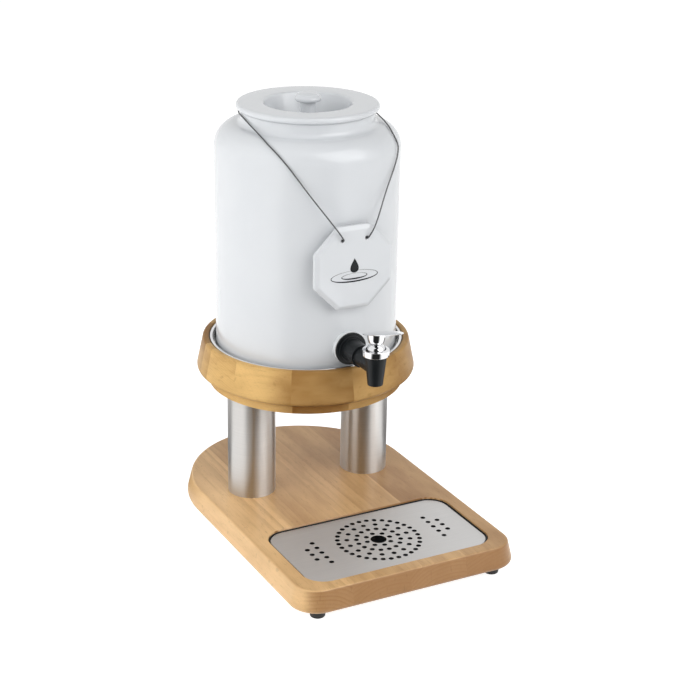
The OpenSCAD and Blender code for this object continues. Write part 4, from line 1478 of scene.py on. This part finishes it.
    def plate(self) -> None:
        """Makes the sign with a soft bevel and two cord holes."""
        low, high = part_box("sign")
        middle, half = (low + high) / 2, (high.x - low.x) / 2
        b, deep, small = self.bevel, self.bevel_deep, self.back_round
        even, curved = self.flat_share, 1 - self.flat_share
        rings = [self.plate_outline(middle, half, small + self.overrun, high.y)]
        rings += [
            self.plate_outline(middle, half, small * (1 - math.sin(t)), high.y - small * (1 - math.cos(t)))
            for t in (math.radians(90 * i / 4) for i in range(5))
        ]
        for i in range(13):
            t, flat = math.radians(90 * i / 12), i / 12
            inset = b * (even * flat + curved * (1 - math.cos(t)))
            back = deep * (even * (1 - flat) + curved * (1 - math.sin(t)))
            rings.append(self.plate_outline(middle, half, inset, low.y + back))
        rings.append(self.plate_outline(middle, half, b + self.overrun, low.y))
        plate = lofted("sign_mesh", rings)
        tools = []
        for side in (-1, 1):
            start = Vector((side * self.hole_apart / 2, high.y + self.overrun, high.z - self.hole_drop))
            deep = high.y - low.y + 2 * self.overrun
            section = [(0, 0), (self.hole_r, 0), (self.hole_r, deep), (0, deep)]
            tools.append(turned("drill", section, start, Axis.FRONT, 48))
        self.dress(eased(cut(plate, *tools), self.hole_round, 3), "sign")

    def drop(self, middle: Vector) -> Skin:
        """Flat milk drop.

        Args:
            middle: Middle of the drop on the sign's face.

        Returns:
            Its corners and faces.
        """
        edge = []
        for i in range(64):
            t = math.tau * i / 64
            width = self.drop_r * math.sin(t) * math.sin(t / 2) ** self.drop_point
            edge.append((width, self.drop_h / 2 * math.cos(t)))
        count = len(edge)
        points = [middle + Vector((x, y, z)) for y in (self.ink_t, -self.ink_t) for x, z in edge]
        faces: list[Sequence[int]] = [range(count), range(count, 2 * count)]
        faces += [(k, (k + 1) % count, count + (k + 1) % count, count + k) for k in range(count)]
        return points, faces

    def ripple(self, middle: Vector, half: float, tall: float) -> Skin:
        """One ring of ripples, brushed thicker at its front.

        Args:
            middle: Middle of the ring on the sign's face.
            half: Half of its width.
            tall: Half of its height.

        Returns:
            Its corners and faces.
        """
        points, faces, count = [], [], 96
        for i in range(count):
            t = math.tau * i / count
            thick = self.stroke * (1 - self.stroke_share - self.stroke_share * math.sin(t))
            for y in (self.ink_t, -self.ink_t):
                for inset in (0, thick):
                    reach, rise = (half - inset) * math.cos(t), (tall - inset) * math.sin(t)
                    points.append(middle + Vector((reach, y, rise)))
            here, there = 4 * i, 4 * ((i + 1) % count)
            for a, b in ((0, 1), (1, 3), (3, 2), (2, 0)):
                faces.append((here + a, here + b, there + b, there + a))
        return points, faces

    def emblem(self) -> None:
        """Paints a milk drop over two rings of ripples, as thin raised enamel."""
        low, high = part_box("sign")
        face = Vector(((low.x + high.x) / 2, low.y, (low.z + high.z) / 2 - self.mark_drop))
        pool = face - Vector((0, 0, self.drop_h / 2))
        points, faces = [], []
        shapes = [self.drop(face + Vector((0, 0, self.drop_h / 4)))]
        shapes += [self.ripple(pool, half, tall) for half, tall in self.ripples]
        for corners, sides in shapes:
            faces += [[len(points) + k for k in side] for side in sides]
            points += corners
        mark = skinned("sign_emblem", points, faces)
        mark.data.materials.append(self.finishes.made[self.INK])
        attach(mark, "sign_body")
        log.info("sign_emblem: %d faces", len(mark.data.polygons))

    def build(self) -> None:
        """Makes the sign; its cord is laid before."""
        self.plate()
        self.emblem()


@dataclass
class Tap(Assembly):
    """Tap with its lever, bonnet, seals and valve."""

    body_round: float = 0.0007
    cap_round: float = 0.0004
    seal_round: float = 0.0003
    valve_round: float = 0.0002
    spring_r: float = 0.0045
    wire_r: float = 0.00045
    turns: int = 5
    cap_side_h: float = 0.0058
    cap_inner_r: float = 0.01035
    cap_inner_h: float = 0.0023
    cap_mouth_r: float = 0.0092
    cap_shoulder: float = 0.0006
    ball_r: float = 0.0086
    ball_cut: float = 0.004
    hollow_r: float = 0.0062
    hollow_h: float = 0.0054
    hollow_bevel: float = 0.0012
    neck_r: float = 0.0038
    neck_h: float = 0.006
    bowl_r: float = 0.0087
    bowl_flare: float = 0.45
    pin_gap: float = 0.00005
    rim_in: float = 0.0003
    rim_turn: float = 2
    neck_join: float = 0.0045
    crease: float = 40
    paddle_l: float = 0.07
    paddle_w: float = 0.024
    paddle_t: float = 0.0034
    paddle_crown: float = 0.0011
    paddle_fall: float = 0.0014
    paddle_pinch: float = 1.3
    paddle_tilt: float = 18
    paddle_front: float = 0.012
    paddle_up: float = 0.021
    paddle_tip: float = 0.01
    paddle_edge: float = 0.4

    def spring(self) -> None:
        """Winds the valve spring."""
        low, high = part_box("valve_spring")
        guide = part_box("stem_guide")[0]
        y = (guide.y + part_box("stem_guide")[1].y) / 2
        start, stop, count = low.z + self.wire_r, high.z - self.wire_r, self.turns * 32
        line = []
        for i in range(count + 1):
            angle = math.tau * i / 32
            rise = start + (stop - start) * i / count
            line.append(Vector((self.spring_r * math.cos(angle), y + self.spring_r * math.sin(angle), rise)))
        round_section = arc((0, 0), self.wire_r, 0, 330, 11)
        spring = swept("valve_spring_mesh", line, [round_section] * len(line), Vector((0, 0, 1)))
        spring.data.shade_smooth()
        self.dress(spring, "valve_spring")
        travel = next(j for j in frame["joints"] if j["name"] == "stem_lift")["range_m"][1]
        keep = 1 - travel / (guide.z - low.z)
        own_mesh(spring)

    def pivot(self) -> tuple[Vector, float]:
        """Middle of the lever's pins, and the pins' radius."""
        low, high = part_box("lever_pins")
        return (low + high) / 2, (high.z - low.z) / 2

    def pin_drill(self) -> Piece:
        """Makes the tool for the pins' holes.

        Returns:
            A level cylinder through the pivot.
        """
        middle, pin_r = self.pivot()
        r, half = pin_r + self.pin_gap, 2 * self.ball_r
        return turned("drill", [(0, -half), (r, -half), (r, half), (0, half)], middle, Axis.RIGHT, 40)

    def bonnet(self) -> None:
        """Turns the chrome cap: upright band, shallow top with a round edge, and holes for the pins."""
        low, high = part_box("tap_bonnet")
        r, tall, soft, turn = (high.x - low.x) / 2, high.z - low.z, self.cap_round, self.cap_shoulder
        mouth = self.cap_mouth_r + soft
        slope = math.degrees(math.atan2(r - mouth, tall - self.cap_side_h))
        middle_h = self.cap_side_h - turn * math.tan(math.radians(slope / 2))
        section = [(self.cap_inner_r, 0)] + arc((r - soft, soft), soft, -90, 0, 5)
        section += arc((r - turn, middle_h), turn, 0, slope, 10)
        section += arc((mouth, tall - soft), soft, slope, 180, 8)
        section += [(self.cap_mouth_r, self.cap_inner_h), (self.cap_inner_r, self.cap_inner_h)]
        cap = cut(turned("tap_bonnet_mesh", section, seat_of("tap_bonnet"), Axis.UP, 160), self.pin_drill())
        self.dress(cap, "tap_bonnet")

    def bowl(self, middle: Vector) -> Piece:
        """Ball and bowl-shaped stem of the lever, hollow for the head of the valve stem.

        Args:
            middle: Middle of the pivot.

        Returns:
            The piece, cut level with the paddle's middle at its top.
        """
        inner, bevel = self.hollow_r, self.hollow_bevel
        rim = math.sqrt(self.ball_r**2 - self.ball_cut**2)
        levels = [(inner - bevel, self.hollow_h), (inner, self.hollow_h - bevel), (inner, -self.ball_cut)]
        levels += [(rim - self.rim_in, -self.ball_cut)]
        first = math.degrees(math.asin(-self.ball_cut / self.ball_r)) + self.rim_turn
        last = math.degrees(math.acos(self.neck_join / self.ball_r))
        levels += arc((0, 0), self.ball_r, first, last, 24)
        start = levels[-1][1]
        steep = math.tan(math.radians(self.paddle_tilt))
        rings = []
        turns = [math.tau * i / 96 for i in range(96)]
        for r, h in levels:
            rings.append([middle + Vector((r * math.cos(t), r * math.sin(t), h)) for t in turns])
        for i in range(1, 33):
            ring = []
            for t in turns:
                top = self.paddle_up - (self.paddle_front + self.bowl_r * math.sin(t)) * steep
                h = start + (top - start) * i / 32
                share = max(0, min((h - self.neck_h) / (self.paddle_up - self.neck_h), 1))
                swell = math.sin(math.pi / 2 * share**self.bowl_flare)
                r = self.neck_r + (self.bowl_r - self.neck_r) * swell
                ring.append(middle + Vector((r * math.cos(t), r * math.sin(t), h)))
            rings.append(ring)
        return lofted("tap_lever_mesh", rings)

    def paddle(self, middle: Vector) -> Piece:
        """Lens-shaped paddle of the lever.

        Args:
            middle: Middle of the pivot.

        Returns:
            The piece, tilted up towards the front.
        """
        turn = Matrix.Rotation(math.radians(-self.paddle_tilt), 3, "X")
        centre = middle + Vector((0, -self.paddle_front, self.paddle_up))
        rings, tip = [], self.paddle_tip
        for i in range(65):
            y = -math.cos(math.pi * (tip + (1 - 2 * tip) * i / 64))
            half_w = self.paddle_w / 2 * math.sqrt(1 - y * y) ** self.paddle_pinch
            ring = []
            for k in range(48):
                a = math.tau * k / 48
                x = half_w * math.cos(a)
                crown = self.paddle_t / 2 - self.paddle_crown * (2 * x / self.paddle_w) ** 2
                thick = crown - self.paddle_fall * y * y
                z = thick * math.copysign(abs(math.sin(a)) ** self.paddle_edge, math.sin(a))
                ring.append(centre + turn @ Vector((x, y * self.paddle_l / 2, z)))
            rings.append(ring)
        return lofted("paddle", rings)

    def lever(self) -> None:
        """Joins ball, stem and paddle into the lever and drills it for the pins."""
        middle = self.pivot()[0]
        lever = cut(self.bowl(middle), self.paddle(middle), join=True)
        cut(lever, self.pin_drill())
        lever.data.shade_smooth()
        lever.data.set_sharp_from_angle(angle=math.radians(self.crease))
        self.dress(lever, "tap_lever")

    def build(self) -> None:
        """Makes the tap's pieces."""
        widths = {
            "tap_body": self.body_round,
            "tap_outer_gasket": self.seal_round,
            "tap_inner_gasket": self.seal_round,
            "tap_locknut": self.cap_round,
            "lever_pins": self.valve_round,
            "valve_stem": self.valve_round,
            "seat_cup": self.seal_round,
            "stem_guide": self.valve_round,
        }
        for node, width in widths.items():
            self.dress(copied(node, width, 3), node)
        self.bonnet()
        self.lever()
        self.spring()


@dataclass
class DripTray(Assembly):
    """Black pan let into the board and the perforated steel grid in it."""

    corner: float = 0.0187
    rim: float = 0.0003
    hole_r: float = 0.0024
    hole_round: float = 0.00006
    pan_round: float = 0.0003
    middle_r: float = 0.0076
    ring_r: float = 0.012
    ring_step: float = 0.009
    ring_counts: tuple[int, ...] = (8, 16, 16, 32)
    row_x: float = 0.06
    row_step: float = 0.01
    row_counts: tuple[int, ...] = (5, 3)

    def grid(self) -> None:
        """Punches the rings and rows of holes out of the plate."""
        low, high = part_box("drip_grid")
        edge = ((self.rim, low.z), (0, low.z + self.rim), (0, high.z - self.rim), (self.rim, high.z))
        rings = [outline(high.x, low.y, high.y, self.corner, inset, z) for inset, z in edge]
        plate = lofted("drip_grid_mesh", rings)
        pattern = Pattern("perforations")
        deep = 4 * (high.z - low.z)
        punch = pattern.cylinder(32, pattern.given("Hole radius", self.hole_r), deep)
        tools = [pattern.cylinder(64, pattern.given("Middle hole radius", self.middle_r), deep)]
        for k, count in enumerate(self.ring_counts):
            many = pattern.given(f"Holes in ring {k + 1}", count)
            reach = pattern.given(f"Radius of ring {k + 1}", self.ring_r + k * self.ring_step)
            sockets = {"Vertices": many, "Radius": reach}
            ring = pattern.shape("GeometryNodeMeshCircle", sockets, fill_type="NONE")
            tools.append(pattern.repeated(ring, punch))
        for side in (-1, 1):
            for k, count in enumerate(self.row_counts):
                many = pattern.given(f"Holes in row {k + 1} on side {side}", count)
                start = (side * (self.row_x + k * self.row_step), -(count - 1) / 2 * self.row_step, 0)
                sockets = {"Count": many, "Start Location": start, "Offset": (0, self.row_step, 0)}
                row = pattern.shape("GeometryNodeMeshLine", sockets, mode="OFFSET")
                tools.append(pattern.repeated(row, punch))
        joined = pattern.shape("GeometryNodeJoinGeometry", {"Geometry": tools})
        real = pattern.shape("GeometryNodeRealizeInstances", {"Geometry": joined})
        punched = pattern.cut(pattern.start.outputs[0], pattern.moved(real, tuple((low + high) / 2)))
        pattern.applied(plate, punched, self.finishes.of("drip_grid"))
        self.dress(eased(plate, self.hole_round), "drip_grid")

    def build(self) -> None:
        """Makes the pan and the grid."""
        self.dress(copied("drip_pan", self.pan_round), "drip_pan")
        self.grid()


@dataclass
class Studio:
    """Camera, lights, white floor and the dark cards that shape the reflections."""

    place: Point = (-0.7026, -1.3434, 0.7819)
    right: Point = (0.8834, -0.4683, 0.0178)
    up: Point = (0.1571, 0.3317, 0.9302)
    lens: float = 87.31
    sensor: float = 36.0
    sky: Colour = (0.97, 0.985, 1)
    ambient: float = 0.3
    floor_size: float = 30.0
    floor_glow: float = 1.95
    floor_share: float = 0.45
    floor_grey: float = 0.92
    card_grey: float = 0.02
    card_fade: float = 0.6
    card_lift: float = 0.002

    CARDS = (
        ("card_front", -24, 40, 0.3, 2.6, 2.2),
        ("card_right", 108, 26, 0.2, 0.5, 0),
        ("card_back", 200, 34, 0.2, 0.5, 0),
    )
    LAMPS = (
        ("key_left", (-1.05, -0.2, 0.6), 0.2, 1.0, 7.4, False),
        ("back_left", (-1.0, 0.8, 0.8), 0.2, 1.0, 5.2, False),
        ("fill_right", (1.1, -0.95, 0.75), 0.25, 1.0, 1.9, True),
        ("front", (0.7, -1.65, 1.5), 0.2, 2.0, 31.5, True),
    )
    WHITE = (1, 1, 1, 1)

    def camera(self) -> None:
        """Sets the camera where the photograph was taken from."""
        data = bpy.data.cameras.new("camera")
        data.lens = self.lens
        data.sensor_width = self.sensor
        camera = bpy.data.objects.new("camera", data)
        bpy.context.scene.collection.objects.link(camera)
        right = Vector(self.right).normalized()
        back = right.cross(Vector(self.up)).normalized()
        up = back.cross(right)
        turn = Matrix((right, up, back)).transposed().to_4x4()
        camera.matrix_world = Matrix.Translation(Vector(self.place)) @ turn
        bpy.context.scene.camera = camera

    def seen(self, shade: Shade) -> Link:
        """Tells the rays that see the surroundings straight or in a mirror.

        Args:
            shade: Nodes of the surroundings or of the floor.

        Returns:
            1 for those rays, else 0.
        """
        path = shade.node("ShaderNodeLightPath")
        rays = [Link(shade, path.outputs[f"Is {kind} Ray"]) for kind in ("Camera", "Glossy", "Transmission")]
        return shade.maths("MINIMUM", rays[0] + rays[1] + rays[2], 1.0)

    def world(self) -> None:
        """White surroundings, dimmer as a light than as a background."""
        world = bpy.data.worlds.new("surroundings")
        shade = Shade(world)
        light = shade.node("ShaderNodeBackground", {"Color": (*self.sky, 1), "Strength": self.ambient})
        white = shade.node("ShaderNodeBackground", {"Color": self.WHITE, "Strength": 1.0})
        shade.node("ShaderNodeOutputWorld", {"Surface": shade.either(self.seen(shade), light, white)})
        bpy.context.scene.world = world

    def sheet(self, name: str, corners: Sequence[Point], material: Material) -> Piece:
        """Makes a flat sheet for the stage.

        Args:
            name: Name of the sheet.
            corners: Its four corners.
            material: Its finish.

        Returns:
            The object.
        """
        mesh = bpy.data.meshes.new(name)
        mesh.from_pydata(corners, [], [(0, 1, 2, 3)])
        mesh.materials.append(material)
        sheet = placed(name, mesh)
        return sheet

    def floor(self) -> None:
        """White floor that keeps a faint shadow of the object."""
        half, grey = self.floor_size / 2, self.floor_grey
        shade = Shade(bpy.data.materials.new("white_floor"))
        matt = shade.node("ShaderNodeBsdfDiffuse", {"Color": (grey, grey, grey, 1)})
        glow = shade.node("ShaderNodeEmission", {"Color": self.WHITE, "Strength": self.floor_glow})
        both = shade.either(self.seen(shade) * self.floor_share, matt, glow)
        shade.node("ShaderNodeOutputMaterial", {"Surface": both})
        corners = [(-half, -half, 0), (half, -half, 0), (half, half, 0), (-half, half, 0)]
        self.sheet("floor", corners, shade.owner)

    def lamp(self, name: str, place: Point, aim: float, size: float, power: float, mirrored: bool) -> None:
        """Hangs a square soft light.

        Args:
            name: Name of the light.
            place: Where it hangs.
            aim: Height on the axis that it points at.
            size: Length of its side.
            power: Watts.
            mirrored: Whether shiny surfaces show it.
        """
        data = bpy.data.lights.new(name, "AREA")
        data.size = size
        data.energy = power
        lamp = bpy.data.objects.new(name, data)
        bpy.context.scene.collection.objects.link(lamp)
        lamp.visible_glossy = mirrored
        lamp.location = place
        lamp.rotation_euler = (Vector(place) - Vector((0, 0, aim))).to_track_quat("Z", "Y").to_euler()

    def card(self, name: str, corners: Sequence[Point], middle: float, half: float) -> None:
        """Stands a card that only mirrors see, dark in its middle and white at its sides.

        Args:
            name: Name of the card.
            corners: Its four corners.
            middle: Direction of its middle, in degrees from the front towards the right.
            half: Half of its width in degrees.
        """
        shade = Shade(bpy.data.materials.new(name))
        x, y, _ = shade.place()
        a, wide = math.radians(middle), math.radians(half)
        turn = shade.maths("ARCTAN2", x * math.cos(a) + y * math.sin(a), x * math.sin(a) - y * math.cos(a))
        side = shade.maths("ABSOLUTE", turn).step(wide * self.card_fade, wide)
        colour = shade.mix(side, (self.card_grey, self.card_grey, self.card_grey), (1.0, 1.0, 1.0))
        glow = shade.node("ShaderNodeEmission", {"Color": colour, "Strength": 1.0})
        shade.node("ShaderNodeOutputMaterial", {"Surface": glow.outputs[0]})
        card = self.sheet(name, corners, shade.owner)
        card.visible_camera = False
        card.visible_diffuse = False
        card.visible_shadow = False
        card.visible_transmission = False

    def cards(self) -> None:
        """Sets a dark card in front, on the floor and upright, and low ones behind."""
        for name, middle, half, near, far, tall in self.CARDS:
            a, b = math.radians(middle - half), math.radians(middle + half)
            edges = ((near, a), (far, a), (far, b), (near, b))
            ground = [(r * math.sin(t), -r * math.cos(t), self.card_lift) for r, t in edges]
            self.card(name + "_low", ground, middle, half)
            if tall:
                ends = ((a, 0), (b, 0), (b, tall), (a, tall))
                wall = [(far * math.sin(t), -far * math.cos(t), z) for t, z in ends]
                self.card(name + "_high", wall, middle, half)

    def build(self) -> None:
        """Makes the floor, the surroundings, the cards and the lights."""
        self.world()
        self.floor()
        self.cards()
        for lamp in self.LAMPS:
            self.lamp(*lamp)


def main() -> None:
    """Builds the scene, the camera and the cord first."""
    logging.basicConfig(level=logging.INFO, format="%(name)s: %(message)s")
    bpy.context.scene.view_settings.view_transform = "Standard"
    studio = Studio()
    studio.camera()
    finishes = Finishes()
    sign = HangingSign(finishes)
    sign.cord()
    parts = [Stand(finishes), RingSeat(finishes), Vessel(finishes), sign, Tap(finishes), DripTray(finishes)]
    for part in parts:
        part.build()
    studio.build()


if __name__ == "__main__":
    main()
